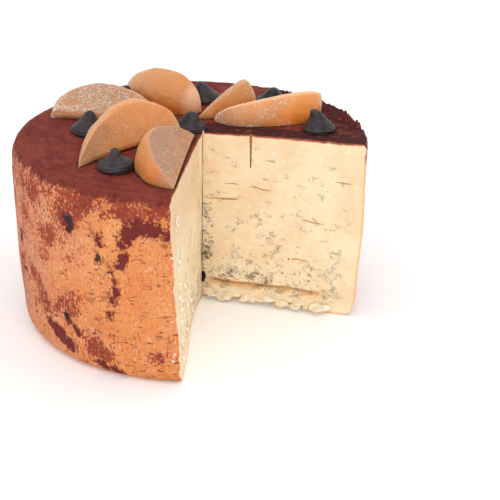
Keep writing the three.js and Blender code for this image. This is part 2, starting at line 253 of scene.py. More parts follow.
fresh_selection()
bpy.ops.mesh.primitive_plane_add(size=1)
wedge = bpy.context.object
wedge.name = "taken_wedge"
far_corner = CUT_REACH * 1.3
plan = {
    (-1, -1): CUT_CORNER,
    (1, -1): CUT_CORNER + cut_vector(LEFT_CUT) * CUT_REACH,
    (-1, 1): CUT_CORNER + cut_vector(RIGHT_CUT) * CUT_REACH,
    (1, 1): CUT_CORNER + Vector((far_corner, -far_corner)),
}
for vertex in wedge.data.vertices:
    spot = plan[(round(2 * vertex.co.x), round(2 * vertex.co.y))]
    vertex.co = Vector((spot.x, spot.y, -BELOW_FOOT))
bpy.ops.object.mode_set(mode="EDIT")
bpy.ops.mesh.select_all(action="SELECT")
bpy.ops.mesh.extrude_region_move(TRANSFORM_OT_translate={"value": (0, 0, CUTTER_HEIGHT)})


def is_cut_wall(face):
    levels = [corner.co.z for corner in face.verts]
    at_corner = any((Vector(corner.co.xy) - CUT_CORNER).length < 1e-3 for corner in face.verts)
    return at_corner and max(levels) - min(levels) > 1


def turn_outwards():
    bpy.ops.mesh.select_all(action="SELECT")
    bpy.ops.mesh.normals_make_consistent(inside=False)


select_in_edit(wedge, "FACE", is_cut_wall)
bpy.ops.mesh.subdivide(number_cuts=11)
bpy.ops.mesh.subdivide(number_cuts=10)
turn_outwards()
bpy.ops.object.mode_set(mode="OBJECT")
left = cut_vector(LEFT_CUT)
right = cut_vector(RIGHT_CUT)
for vertex in wedge.data.vertices:
    spot = Vector(vertex.co.xy) - CUT_CORNER
    share = (vertex.co.z + BELOW_FOOT) / CUTTER_HEIGHT
    height = wall_height(share) - BELOW_FOOT if share < 1 else vertex.co.z
    along = spot.length
    if along > 0 and abs(spot.x * left.y - spot.y * left.x) < 1e-2 * along:
        spot += Vector((left.y, -left.x)) * left_cut_relief(along, height)
    elif along > 0 and abs(spot.x * right.y - spot.y * right.x) < 1e-2 * along:
        spot += Vector((-right.y, right.x)) * right_cut_relief(along, height)
    vertex.co = Vector((spot.x + CUT_CORNER.x, spot.y + CUT_CORNER.y, height))


def pick(thing):
    fresh_selection()
    thing.select_set(True)
    bpy.context.view_layer.objects.active = thing


def apply_modifier(thing, kind, **settings):
    modifier = thing.modifiers.new(kind.lower(), kind)
    for name, setting in settings.items():
        setattr(modifier, name, setting)
    bpy.ops.object.modifier_apply(modifier=modifier.name)


def cut_away(body, cutter):
    pick(body)
    apply_modifier(body, "BOOLEAN", operation="DIFFERENCE", solver="MANIFOLD", object=cutter)
    bpy.data.objects.remove(cutter)


# Each cutter brings the material of the faces that it leaves
SKIN, PASTE_FACE, CRACK_FACE, SLIT_FACE = range(4)
surfaces = [
    bpy.data.materials.new(name) for name in ("washed_rind", "cheese_paste", "crack_paste", "slit_paste")]


def leaves(cutter, surface):
    cutter.data.materials.clear()
    for material in surfaces:
        cutter.data.materials.append(material)
    for face in cutter.data.polygons:
        face.material_index = surface
    return cutter


leaves(cheese, SKIN)
cut_away(cheese, leaves(wedge, PASTE_FACE))

# Cracks that opened in the paste, a slit where the knife ran on past the corner, the half channel of
# a skewer and a hole at the foot of the corner, all cut into the faces
Crack = namedtuple("Crack", "along height length gape")
RIGHT_FACE_CRACKS = [
    Crack(13, 68.5, 21, 1.1), Crack(37, 78, 13, 0.8), Crack(19, 79, 9, 0.6), Crack(43, 96, 6, 0.7),
    Crack(70, 60, 14, 0.9), Crack(88, 88, 11, 0.8), Crack(62, 34, 12, 1.1), Crack(84, 41, 7, 0.7),
]
LEFT_FACE_CRACKS = [
    Crack(52, 66, 9, 0.7), Crack(84, 38, 10, 0.8), Crack(30, 82, 6, 0.6),
]
CRACK_DEPTH = 2.6
CRACK_WANDER = 1.5


def rough_ball(width, depth, height, turn, place):
    """A ball pulled to the given size, its surface roughened by a displacement"""
    bpy.ops.mesh.primitive_ico_sphere_add(subdivisions=4, radius=0.5)
    ball = bpy.context.object
    clouds = bpy.data.textures.new("crumbling", "CLOUDS")
    clouds.noise_scale = 0.22
    apply_modifier(ball, "DISPLACE", texture=clouds, strength=0.35, texture_coords="LOCAL")
    ball.data.transform(Matrix.Diagonal((width, depth, height, 1)))
    for vertex in ball.data.vertices:
        vertex.co.z += CRACK_WANDER * lumps(vertex.co.x, place[0], place[2], 7)
    ball.data.transform(Matrix.Rotation(turn, 4, "Z"))
    ball.data.transform(Matrix.Translation(place))
    return ball


def join(things):
    pick(things[0])
    for thing in things[1:]:
        thing.select_set(True)
    bpy.ops.object.join()
    return things[0]


fresh_selection()
hollows = []
for cracks, direction in ((RIGHT_FACE_CRACKS, RIGHT_CUT), (LEFT_FACE_CRACKS, LEFT_CUT)):
    for crack in cracks:
        spot = CUT_CORNER + cut_vector(direction) * crack.along
        hollows.append(rough_ball(
            crack.length, CRACK_DEPTH, crack.gape, direction, (spot.x, spot.y, crack.height)))
hollows = join(hollows)

SKEWER_ALONG = 30.3
SKEWER_REACH = 26
SKEWER_RADII = (0.35, 1)
spot = CUT_CORNER + right * SKEWER_ALONG
bpy.ops.mesh.primitive_cone_add(
    vertices=24, radius1=SKEWER_RADII[0], radius2=SKEWER_RADII[1], depth=SKEWER_REACH,
    location=(spot.x, spot.y, WHEEL_HEIGHT - SKEWER_REACH / 2 + 3))
bpy.ops.object.transform_apply()
skewer = bpy.context.object

# the slit is deep low down and only a shallow score near the top
SLIT_WIDTH = 0.9
SLIT_DEPTH = 5
SLIT_HEIGHT = 102
SLIT_MIDDLE = 63
SLIT_OVERLAP = 0.5
SCORE_DEPTH = 0.7
SCORE_FROM = 66
SCORE_BY = 80
fresh_selection()
bpy.ops.mesh.primitive_cube_add(size=1)
slit = bpy.context.object
bpy.ops.object.mode_set(mode="EDIT")
bpy.ops.mesh.subdivide(number_cuts=30)
bpy.ops.object.mode_set(mode="OBJECT")
slit.data.transform(Matrix.Diagonal((SLIT_WIDTH, SLIT_DEPTH, SLIT_HEIGHT, 1)))
slit.data.transform(Matrix.Translation((0, SLIT_DEPTH / 2 - SLIT_OVERLAP, SLIT_MIDDLE)))
for vertex in slit.data.vertices:
    scored = smooth(vertex.co.z, SCORE_FROM, SCORE_BY)
    vertex.co.y = blend(vertex.co.y, min(vertex.co.y, SCORE_DEPTH), scored)
slit.data.transform(Matrix.Rotation(LEFT_CUT + math.pi / 2, 4, "Z"))
slit.data.transform(Matrix.Translation((CUT_CORNER.x - 0.2, CUT_CORNER.y, 0)))
for vertex in slit.data.vertices:
    vertex.co.x += 0.25 * lumps(0, 5, vertex.co.z, 9)

FOOT_HOLE = {"width": 5, "depth": 7, "height": 8}
FOOT_HOLE_LEVEL = 14
foot_hole = rough_ball(**FOOT_HOLE, turn=0, place=(CUT_CORNER.x, CUT_CORNER.y, FOOT_HOLE_LEVEL))
cut_away(cheese, leaves(hollows, CRACK_FACE))
for cutter in (skewer, slit, foot_hole):
    cut_away(cheese, leaves(cutter, SLIT_FACE))

# What handling and ripening did to the skin: slow swells, pits, stains of cocoa that ran down the
# rind, and a stretch of the rim at the back where the cocoa crust broke into crags
Stroke = namedtuple("Stroke", "azimuth height to_azimuth to_height radius")
COCOA_STAINS = [
    Stroke(263.6, 92.5, 267.5, 97, 4.2), Stroke(267.5, 97, 272, 96.5, 4.4),
    Stroke(272, 96.5, 277.5, 93, 2.6), Stroke(262.4, 92, 263.2, 89, 3.2),
    Stroke(261.7, 84.5, 261.7, 86, 2.2), Stroke(262.4, 78, 261, 72.5, 2.6), Stroke(259, 64, 259, 63, 1.2),
    Stroke(259.3, 56.5, 258.6, 51.5, 2.4), Stroke(257.2, 43, 256.6, 41, 1.6),
    Stroke(253.9, 86, 254.2, 84, 1.8), Stroke(230, 21, 231.5, 19.5, 3), Stroke(234, 17.5, 235.5, 16, 5.2),
    Stroke(239, 13, 240, 12, 4), Stroke(239.8, 29, 240.4, 28, 2.4), Stroke(242, 26, 242.4, 25.4, 1.5),
    Stroke(243.8, 24.4, 244.2, 23.4, 2.2), Stroke(186.5, 30, 188, 20, 2.6), Stroke(252, 7, 254, 5.6, 2.4),
    Stroke(257, 4.4, 259, 3, 2.6), Stroke(120, 80, 124, 70, 3.4), Stroke(124, 60, 122, 52, 2.2),
    Stroke(92, 96, 88, 88, 3), Stroke(60, 40, 66, 32, 3), Stroke(30, 84, 33, 70, 2.8),
    Stroke(150, 30, 156, 22, 2.6), Stroke(20, 22, 26, 15, 2.4),
]
RIND_PITS = [
    Stroke(242.8, 93.5, 242.8, 88.5, 3.2), Stroke(253.3, 75, 253.3, 74.5, 2.4), Stroke(186.5, 30, 187, 26, 3),
    Stroke(183.4, 15, 184, 12, 2.4), Stroke(238.5, 31.5, 239.2, 31, 2.3), Stroke(256.4, 38.5, 256.4, 38, 1.6),
    Stroke(211.5, 66.5, 211.8, 61, 2.1), Stroke(213.5, 44, 214.2, 42, 1.5), Stroke(254, 87.6, 254, 87.2, 1.5),
    Stroke(257.8, 68, 257.8, 67.6, 0.9), Stroke(143, 62, 144, 60, 2.5), Stroke(98, 40, 98, 36, 2.4),
    Stroke(47, 71, 47.5, 69, 2.3), Stroke(115, 25, 116, 23, 2.0), Stroke(70, 84, 70, 82, 1.8),
]
Dusting = namedtuple("Dusting", "azimuth height radius amount")
DUSTINGS = [
    Dusting(206, 80.7, 2.8, 1), Dusting(218.4, 83.5, 3.4, 1), Dusting(224.1, 98.9, 3.4, 1.2),
    Dusting(229.9, 76.4, 4, 1.1), Dusting(235.4, 84.1, 2.8, 0.9), Dusting(234.2, 76.7, 2.3, 0.8),
    Dusting(215.2, 68, 2.3, 0.8), Dusting(210.4, 46.3, 2.8, 1), Dusting(221, 47, 3.4, 1),
    Dusting(229.3, 64.3, 2.8, 0.6), Dusting(225.7, 39.6, 3.4, 0.8), Dusting(229.1, 31.2, 4, 1),
    Dusting(237.2, 36.9, 4, 1.1), Dusting(241.8, 38.5, 3.4, 1.1), Dusting(246.4, 42.4, 2.8, 0.8),
    Dusting(243.8, 49.1, 2.3, 0.6), Dusting(251.7, 21.2, 3.4, 1), Dusting(250.5, 14.8, 3.4, 1.1),
    Dusting(255.2, 13.3, 2.8, 1), Dusting(271.3, 16, 2.8, 0.9), Dusting(274.2, 108, 3.4, 1.2),
    Dusting(266.8, 105, 3.4, 0.9), Dusting(260.9, 105, 3.4, 0.9), Dusting(248.6, 106, 3.4, 1.1),
    Dusting(254, 87.3, 1.7, 0.8), Dusting(242.2, 69.2, 1.1, 0.9), Dusting(273.2, 18.2, 2.3, 0.8),
    Dusting(242.1, 95.6, 4.6, 0.7), Dusting(257.8, 51.4, 1.7, 1), Dusting(258.2, 29.8, 1.7, 0.7),
    Dusting(242.8, 91, 4.5, 0.7), Dusting(262, 82, 3, 0.5),
]
DUST_SPREAD = 1.5
PIT_DEPTH = 1.5
FAR_FROM_MARK = 9
SKIN_MARKS = ("depth", "stain", "pit", "dust", "bruise")
SHARP_FROM = -6
SHARP_TO = 150
SHARPENED = 0.75
CRAG_FROM = 8
CRAG_TO = 66
CRAG_HEIGHT = 3
SKIN_REACH = 12


def distance_to(stroke, azimuth, height):
    """Millimetres round the wheel from a place on its side to the edge of a stroke"""
    per_degree = math.radians(WHEEL_RADIUS)
    start = Vector((stroke.azimuth * per_degree, stroke.height))
    run = Vector((stroke.to_azimuth * per_degree, stroke.to_height)) - start
    spot = Vector((azimuth * per_degree, height)) - start
    share = min(1, max(0, spot.dot(run) / max(run.length_squared, 1e-9)))
    return (spot - run * share).length - stroke.radius


def dustiness(azimuth, height):
    """How thickly dust gathered at a place on the side, from the patches near it"""
    total = 0
    for patch in DUSTINGS:
        run = (azimuth % 360 - patch.azimuth) * math.radians(WHEEL_RADIUS)
        from_patch = math.hypot(run, height - patch.height) / (DUST_SPREAD * patch.radius)
        total += patch.amount * math.exp(-from_patch ** 2 / 2)
    return min(1.3, total)


def nearest(strokes, azimuth, height):
    distances = [distance_to(stroke, azimuth % 360, height) for stroke in strokes]
    return min(FAR_FROM_MARK, *distances)


def from_right_cut(x, y):
    offset = Vector((x, y)) - CUT_CORNER
    return offset.dot(Vector((-right.y, right.x)))


def bruised(x, y):
    """How dark the cocoa crust is: soaked along the right cut, broken and dry at the craggy rim"""
    azimuth = math.degrees(math.atan2(y, x))
    along_cut = between(from_right_cut(x, y), -8, 17, 6) * smooth(x, -6, 4)
    craggy = between(azimuth, -2, 84, 20) * smooth(math.hypot(x, y), 60, 82)
    return max(along_cut, 0.72 * craggy)


def measure_skin(shape):
    """Stores what the materials need at each corner: the depth under the skin, and the marks' distances"""
    for name in SKIN_MARKS:
        shape.attributes.new(name, "FLOAT", "POINT")
    for vertex in shape.vertices:
        x, y, z = vertex.co
        azimuth = math.degrees(math.atan2(y, x))
        depth = min(side_radius(z) - math.hypot(x, y), WHEEL_HEIGHT - z, z)
        on_side = 0.5 < z < WHEEL_HEIGHT - 2
        marks = {
            "depth": max(0, depth),
            "stain": nearest(COCOA_STAINS, azimuth, z) if on_side else FAR_FROM_MARK,
            "pit": nearest(RIND_PITS, azimuth, z) if on_side else FAR_FROM_MARK,
            "dust": dustiness(azimuth, z) if on_side else 0,
            "bruise": bruised(x, y),
        }
        for name, mark in marks.items():
            shape.attributes[name].data[vertex.index].value = mark


def weathered(vertex, depth, pit):
    """Where a corner of the fresh wheel lies on the ripened one; the foot stays flat"""
    x, y, z = vertex.co
    radius = math.hypot(x, y)
    azimuth = math.degrees(math.atan2(y, x))
    near_skin = math.exp(-depth / SKIN_REACH)
    on_side = smooth(z, 1, 12) * smooth(radius, 80, 98) * near_skin
    on_top = smooth(z, WHEEL_HEIGHT - 14, WHEEL_HEIGHT) * near_skin
    on_shoulder = smooth(radius, 88, 98) if z > WHEEL_HEIGHT - ROUNDING else 0
    sharp = SHARPENED * on_shoulder * between(azimuth, SHARP_FROM, SHARP_TO, 16) * near_skin
    crag = between(azimuth, CRAG_FROM, CRAG_TO, 14) * smooth(radius, 82, 96) * on_top
    swell = 0.8 * lumps(x, y, z, 34) + 0.35 * lumps(x, y, z, 13) + 0.12 * lumps(x, y, z, 4.5)
    swell -= PIT_DEPTH * (1 - smooth(pit, -1.6, 0.6))
    jolt = 1.5 * lumps(x, y, z, 6)
    block = noise.cell(Vector((x / 4.6 + jolt, y / 4.6 - jolt, 3)))
    broken = crag * (CRAG_HEIGHT * (lumps(x, y, z, 8) + 0.6 * lumps(x, y, z, 3.4)) + 1.1 * block)
    crust = 0.22 * lumps(x, y, 3, 7) + 0.16 * lumps(x, y, 9, 2.8)
    rough = between(azimuth, -10, 95, 25) * smooth(radius, 55, 85)
    crust += rough * 0.8 * (abs(lumps(x, y, 17, 5)) - 0.35 + 0.5 * lumps(x, y, 27, 2.2))
    new_radius = blend(radius, WHEEL_RADIUS, sharp) + on_side * swell + 0.4 * broken
    if radius > 1e-6:
        x *= new_radius / radius
        y *= new_radius / radius
    rise = top_height(x, y) - WHEEL_HEIGHT + crust
    return Vector((x, y, blend(z, WHEEL_HEIGHT, 0.6 * sharp) + on_top * rise + 0.6 * broken))


def trim_slivers(thing, distance):
    pick(thing)
    bpy.ops.object.mode_set(mode="EDIT")
    bpy.ops.mesh.select_all(action="SELECT")
    bpy.ops.mesh.remove_doubles(threshold=distance)
    bpy.ops.mesh.dissolve_degenerate(threshold=distance / 10)
    bpy.ops.object.mode_set(mode="OBJECT")


def settle(thing):
    """Millimetres about the wheel's axis become metres in the part's frame"""
    thing.data.transform(Matrix.Scale(MM, 4) @ Matrix.Translation(AXIS))
    thing.data.update()


trim_slivers(cheese, 0.12)
measure_skin(cheese.data)
for vertex in cheese.data.vertices:
    depth = cheese.data.attributes["depth"].data[vertex.index].value
    pit = cheese.data.attributes["pit"].data[vertex.index].value
    vertex.co = weathered(vertex, depth, pit)


def surface_of(thing):
    """The surface of a mesh as it is now, to be asked for its nearest or next place"""
    corners = [vertex.co.copy() for vertex in thing.data.vertices]
    return BVHTree.FromPolygons(corners, [tuple(face.vertices) for face in thing.data.polygons])


cheese_in_mm = surface_of(cheese)
settle(cheese)
pick(cheese)
bpy.ops.object.shade_smooth_by_angle(angle=math.radians(48))


class Wire:
    """A socket of a material; arithmetic written with it becomes Math nodes"""

    def __init__(self, finish, socket):
        self.finish = finish
        self.socket = socket

    def worked(self, operation, *others):
        """What a Math node makes of this socket and the others"""
        values = dict(enumerate((self, *others)))
        return self.finish.node("ShaderNodeMath", {"operation": operation}, values)

    def __add__(self, other):
        return self.worked("ADD", other)

    def __sub__(self, other):
        return self.worked("SUBTRACT", other)

    def __rsub__(self, other):
        return self.finish.node("ShaderNodeMath", {"operation": "SUBTRACT"}, {0: other, 1: self})

    def __mul__(self, other):
        return self.worked("MULTIPLY", other)

    def __truediv__(self, other):
        return self.worked("DIVIDE", other)

    def __neg__(self):
        return self * -1

    def __abs__(self):
        return self.worked("ABSOLUTE")

    def larger(self, other):
        return self.worked("MAXIMUM", other)

    def smaller(self, other):
        return self.worked("MINIMUM", other)

    __radd__ = __add__
    __rmul__ = __mul__


def tone(red, green, blue):
    """A colour as seen on a screen, 0 to 255, as the light that a material takes"""
    shares = [value / 255 for value in (red, green, blue)]
    return (*[s / 12.92 if s < 0.04045 else ((s + 0.055) / 1.055) ** 2.4 for s in shares], 1)


class Finish:
    """A material in the making"""

    def __init__(self, material, roughness=0.8, subsurface=0, scatter=(1, 0.5, 0.25), specular=0.5):
        self.material = material
        self.material.use_nodes = True
        self.tree = self.material.node_tree
        self.shader = self.tree.nodes["Principled BSDF"]
        self.set("Roughness", roughness)
        self.set("Specular IOR Level", specular)
        self.set("Subsurface Weight", subsurface)
        self.set("Subsurface Radius", scatter)
        self.set("Subsurface Scale", 3 * MM)
        self.place = self.node("ShaderNodeTexCoord", {}, {}, "Object")
        self.paint = None

    def set(self, name, value):
        self.shader.inputs[name].default_value = value

    def node(self, kind, settings, values, out=0):
        made = self.tree.nodes.new(kind)
        for name, setting in settings.items():
            setattr(made, name, setting)
        for name, value in values.items():
            if isinstance(value, Wire):
                self.tree.links.new(value.socket, made.inputs[name])
            else:
                made.inputs[name].default_value = value
        return Wire(self, made.outputs[out])

    def attribute(self, name):
        return self.node("ShaderNodeAttribute", {"attribute_name": name}, {}, "Fac")

    def axes(self):
        """Millimetres from the wheel's axis and from its foot"""
        split = self.node("ShaderNodeSeparateXYZ", {}, {0: self.place})
        across, deep, high = (Wire(self, out) for out in split.socket.node.outputs)
        return across * 1000 - AXIS.x, deep * 1000 - AXIS.y, high * 1000

    def texture(self, kind, settings, size, seed, where, values, out=0):
        """A texture whose lumps or cells are "size" millimetres apart"""
        unit = 1 if where else MM
        base = {"Vector": where or self.place, "W": seed, "Scale": 1 / (size * unit)}
        return self.node(kind, settings, base | values, out)

    def pattern(self, size, seed=0, detail=2, where=None, roughness=0.5):
        """Cloudy noise between 0 and 1"""
        return self.texture(
            "ShaderNodeTexNoise", {"noise_dimensions": "4D"}, size, seed, where,
            {"Detail": detail, "Roughness": roughness})

    def cells(self, size, seed=0, where=None, feature="F1"):
        settings = {"voronoi_dimensions": "4D", "feature": feature}
        return self.texture("ShaderNodeTexVoronoi", settings, size, seed, where, {}, "Distance")

    def step(self, value, low, high):
        return self.node("ShaderNodeMapRange", {"interpolation_type": "SMOOTHSTEP"}, {
            "Value": value, "From Min": low, "From Max": high})

    def patches(self, low, high, *sizes, **settings):
        """Patches cut from a pattern: 0 where it is under the low value, 1 where it is over the high one"""
        return self.step(self.pattern(*sizes, **settings), low, high)

    def mix(self, factor, first, second):
        return self.node("ShaderNodeMix", {"data_type": "RGBA"}, {0: factor, 6: first, 7: second}, 2)

    def lay(self, factor, colour):
        """Paints a colour over what is there"""
        self.paint = self.mix(factor, self.paint, colour)

    def vector(self, x, y, z):
        return self.node("ShaderNodeCombineXYZ", {}, {0: x, 1: y, 2: z})

    def colour(self, wire):
        self.tree.links.new(wire.socket, self.shader.inputs["Base Color"])

    def roughness(self, wire):
        self.tree.links.new(wire.socket, self.shader.inputs["Roughness"])

    def relief(self, height, depth=1):
        """Bumps of a height from 0 to 1 over "depth" millimetres"""
        values = {"Height": height, "Distance": depth * MM, "Strength": 1}
        bump = self.node("ShaderNodeBump", {}, values, "Normal")
        self.tree.links.new(bump.socket, self.shader.inputs["Normal"])


# The skin of the wheel: an orange washed rind with the weave of the cheesecloth in it, freckled with
# maroon, and the cocoa that was sieved over the top and dusted the rim
RIND_TAN = tone(220, 137, 80)
RIND_PALE = tone(227, 155, 103)
RIND_LIGHT = tone(240, 181, 130)
RIND_DEEP = tone(206, 108, 58)
RIND_PINK = tone(203, 141, 120)
RIND_BROWN = tone(150, 78, 50)
RIND_DUST = tone(184, 88, 58)
MAROON_DUST = tone(138, 46, 38)
MAROON = tone(108, 38, 38)
NEARLY_BLACK = tone(66, 34, 34)
PIT_BROWN = tone(58, 42, 42)
MOULD_GREY = tone(176, 160, 156)
COCOA = tone(118, 44, 34)
COCOA_LIGHT = tone(136, 58, 46)
COCOA_DARK = tone(72, 34, 34)
COCOA_RUST = tone(146, 74, 48)

skin = Finish(surfaces[SKIN], roughness=0.85, subsurface=0.06, specular=0.18)
x, y, z = skin.axes()
# angle round the wheel, counted from the side away from the missing wedge
sine = math.sin(math.radians(135))
turned_x = (y - x) * sine
turned_y = (x + y) * -sine
around = turned_y.worked("ARCTAN2", turned_x) * WHEEL_RADIUS
from_axis = (x * x + y * y).worked("SQRT")
# millimetres up over the rounded rim, 0 in its middle
climb = z - from_axis - (WHEEL_HEIGHT - WHEEL_RADIUS)
THREADS_APART = 1.9


def threads(run):
    """Lines left by the cloth's threads, 1 on a line"""
    wave = (run + (skin.pattern(11, 3) - 0.5) * 5) * (2 * math.pi / THREADS_APART)
    return skin.step(wave.worked("SINE"), 0.1, 1)


handled = 1 - skin.step(around + (skin.pattern(30, 9, detail=3) - 0.5) * 90, 110, 225)
woven = skin.step(skin.pattern(15, 5, detail=2) - handled * 0.12, 0.4, 0.58)
weave = threads(around).larger(threads(z) * 0.55) * woven
grain = skin.pattern(0.9, 7, detail=3)
upright_grain = skin.pattern(1, 8, detail=4, where=skin.vector(around / 1.0, z / 2.6, 0))
skin.paint = skin.mix(skin.patches(0.42, 0.62, 16, 11, detail=3) * 0.6, RIND_TAN, RIND_PALE)
skin.lay(handled * 0.85, RIND_PINK)
skin.lay(weave * 0.36, RIND_DEEP)
skin.lay(skin.step(upright_grain, 0.54, 0.72) * 0.4, RIND_DEEP)
skin.lay(skin.step(-upright_grain, -0.44, -0.28) * 0.5, RIND_LIGHT)
pale_grain = skin.step(skin.pattern(1, 28, detail=5, where=skin.vector(around / 1.7, z / 3.4, 0)), 0.52, 0.62)
pale_patch = skin.patches(0.42, 0.6, 17, 29, detail=3)
skin.lay(pale_grain * (0.12 + pale_patch * 0.42), RIND_LIGHT)
# dry scales with brown edges
curled = skin.vector(around + skin.pattern(5, 13) * 9, z + skin.pattern(5, 14) * 9, 0)
scales = skin.cells(7, 12, feature="DISTANCE_TO_EDGE", where=curled)
scaly = (1 - skin.step(scales, 0.02, 0.1)) * skin.patches(0.55, 0.68, 9, 16, detail=2)
skin.lay(scaly * 0.6, RIND_BROWN)
# maroon dust in ragged clumps and fine grains, thick under the cocoa, on the side that was handled, and
# where it gathered in patches
upright = skin.vector(around, z / 1.35, 0)
clumps = skin.pattern(6.5, 15, detail=5, where=upright, roughness=0.72)
dust_grain = skin.pattern(1.3, 16, detail=3, where=upright, roughness=0.6)
gathered = skin.patches(0.44, 0.64, 24, 17, detail=3)
fringe = skin.step(z + (skin.pattern(10, 18) - 0.5) * 14, 84, 106)
density = fringe * 0.09 + handled * 0.07 + gathered * 0.045 + skin.attribute("dust") * 0.13 - 0.09
dust_field = clumps * 0.42 + dust_grain * 0.58 + density
skin.lay(skin.step(dust_field, 0.49, 0.57) * 0.45, RIND_DUST)
skin.lay(skin.step(dust_field, 0.54, 0.59) * 0.8, MAROON_DUST)
skin.lay(skin.step(dust_field, 0.64, 0.7) * 0.35, NEARLY_BLACK)
fine_dust = upright_grain * 0.5 + skin.pattern(0.8, 26, detail=2) * 0.5 + handled * 0.05 + fringe * 0.03
sown = skin.step(fine_dust, 0.55, 0.61)
skin.lay(sown * (0.38 + handled * 0.42), MAROON_DUST)
# scattered dark dots
dots = skin.cells(11, 20) + (skin.pattern(1.5, 22) - 0.5) * 0.1
skin.lay((1 - skin.step(dots, 0.06, 0.1)) * 0.8, NEARLY_BLACK)
# short level cracks and dashes, and a few long ones
dashes = skin.pattern(1, 19, detail=3, where=skin.vector(around / 5, z / 1.6, 0))
dashes = dashes + (skin.pattern(20, 21) - 0.5) * 0.25 + (1 - skin.step(z, 22, 70)) * 0.015
dash = skin.step(dashes, 0.63, 0.675)
skin.lay(dash * 0.85, tone(116, 64, 60))
seam = skin.pattern(1, 22, detail=3, where=skin.vector(around / 34, z / 11, 0)) - 0.5
long_crack = (1 - skin.step(abs(seam), 0.004, 0.014)) * skin.patches(0.56, 0.64, 13, 24)
skin.lay(long_crack * 0.7, RIND_BROWN)
# grey mould flecks
fleck = skin.step(
    skin.pattern(2.2, 23, detail=4) + (skin.pattern(22, 25) - 0.5) * 0.4
    + skin.step(z, 74, 90) * (1 - skin.step(z, 98, 106)) * 0.045, 0.65, 0.72)
skin.lay(fleck * 0.75, MOULD_GREY)
# stains and pits
fray = (skin.pattern(4.5, 27, detail=5, roughness=0.65) - 0.5) * 12 + (grain - 0.5) * 2
stained = 1 - skin.step(skin.attribute("stain") + fray, -0.6, 0.3)
skin.lay(stained * 0.97, MAROON)
spattered = 1 - skin.step(skin.attribute("stain").smaller(skin.attribute("pit")), 0.3, 4)
spatter = skin.step(clumps * 0.5 + dust_grain * 0.5 + spattered * 0.12, 0.6, 0.65)
skin.lay(spatter * 0.7, MAROON)
pitted = 1 - skin.step(skin.attribute("pit") + fray * 0.6, -0.7, 0.1)
skin.lay(pitted * 0.95, PIT_BROWN)
rind_paint = skin.paint
# cocoa over the top as far as the rim, brushed round it in places, with small dents
rings = skin.vector(around / 16, from_axis / 3.2, z / 3.2)
brushed = skin.pattern(1, 32, detail=4, where=rings, roughness=0.6)
sieved = skin.patches(0.4, 0.58, 11, 31, detail=6, roughness=0.65)
skin.paint = skin.mix(sieved, COCOA, COCOA_LIGHT)
skin.lay(skin.step(brushed, 0.5, 0.66) * 0.5, COCOA_DARK)
skin.lay(skin.step(-brushed, -0.44, -0.32) * 0.3, COCOA_RUST)
skin.lay(skin.patches(0.5, 0.66, 1.3, 33, detail=4) * 0.4, COCOA_DARK)
speck = skin.patches(0.65, 0.7, 3.4, 34, detail=3)
skin.lay(speck * 0.85, NEARLY_BLACK)
bruise = skin.attribute("bruise")
bruise_edge = skin.step(bruise + (skin.pattern(6, 35, detail=4) - 0.5) * 1.1, 0.35, 0.75)
skin.lay(bruise_edge * 0.9, tone(62, 31, 32))
# a dark halo round each slice's foot: cocoa soaked with syrup, and painted contact shadow
damp_and_shade = skin.step(skin.attribute("damp_and_shade") + (skin.pattern(3, 38, detail=3) - 0.5) * 0.7, 0.3, 0.8)
skin.lay(damp_and_shade * 0.8, tone(50, 27, 28))
rust = skin.patches(0.54, 0.64, 5, 37, detail=4) * bruise
skin.lay(rust * 0.6, COCOA_RUST)
run_down = (skin.pattern(1, 39, detail=3, where=skin.vector(around / 7, z / 12, 0)) - 0.5) * 14
powder = (skin.pattern(1.8, 41, detail=4, roughness=0.7) - 0.5) * 12
covered = skin.step(climb + run_down + powder, -3.5, 1)
skin.colour(skin.mix(covered, rind_paint, skin.paint))
raised = grain * (0.25 + covered * 0.25) + skin.pattern(3, 43, detail=4) * (0.45 + covered * 0.35)
raised = raised + weave * 0.1 * (1 - covered) + brushed * covered * 0.9
skin.relief(raised - dash * 0.3 - scaly * 0.2 - long_crack * 0.25 - stained * 0.1 - speck * 0.35)

# The paste: cream with blue-green veins, darkest low down by the corner, a few amber cracks, and a
# thin line of soaked rind where it meets the skin
PASTE = tone(243, 223, 188)
PASTE_PALE = tone(247, 232, 205)
PASTE_WARM = tone(239, 211, 171)
VEIN_PALE = tone(192, 176, 162)
VEIN = tone(148, 136, 122)
VEIN_DARK = tone(84, 80, 72)
AMBER_SHADE = tone(236, 184, 112)
SOAKED = tone(160, 76, 54)
RIND_LINE = tone(234, 164, 106)

paste = Finish(surfaces[PASTE_FACE], roughness=0.6, subsurface=0.25, scatter=(1, 0.65, 0.4), specular=0.3)
x, y, z = paste.axes()
paste.paint = paste.mix(paste.patches(0.35, 0.6, 20, 1, detail=3), PASTE_WARM, PASTE)
paste.lay(paste.patches(0.52, 0.72, 4, 3, detail=4) * 0.6, PASTE_PALE)
corner_x = x - CUT_CORNER.x
corner_y = y - CUT_CORNER.y
from_corner = (corner_x * corner_x + corner_y * corner_y).worked("SQRT")
# the curd was pressed in level layers
layers = paste.pattern(1, 23, detail=4, where=paste.vector(from_corner / 9, z / 1.8, 0))
paste.lay(paste.step(layers, 0.5, 0.66) * 0.3, tone(233, 201, 160))
depth = paste.attribute("depth")
inside = paste.step(depth, 4, 16)
low = 1 - paste.step(z + (paste.pattern(18, 2) - 0.5) * 30, 10, 52)
cornered = 1 - paste.step(from_corner + (paste.pattern(12, 8) - 0.5) * 20, 3, 26)
left_face = 1 - paste.step(corner_y, -16, -9)
on_left = left_face * (1 - paste.step(from_corner, 40, 75))
by_slit = 1 - paste.step(from_corner + (paste.pattern(5, 24) - 0.5) * 8, 4, 12)
by_slit = by_slit * (1 - paste.step(abs(z - 44), 16, 26))
ripe = low * 0.085 + cornered * 0.02 + by_slit * 0.075 + on_left * 0.03
ripe = ripe + (paste.pattern(30, 4) - 0.5) * 0.16 - 0.02
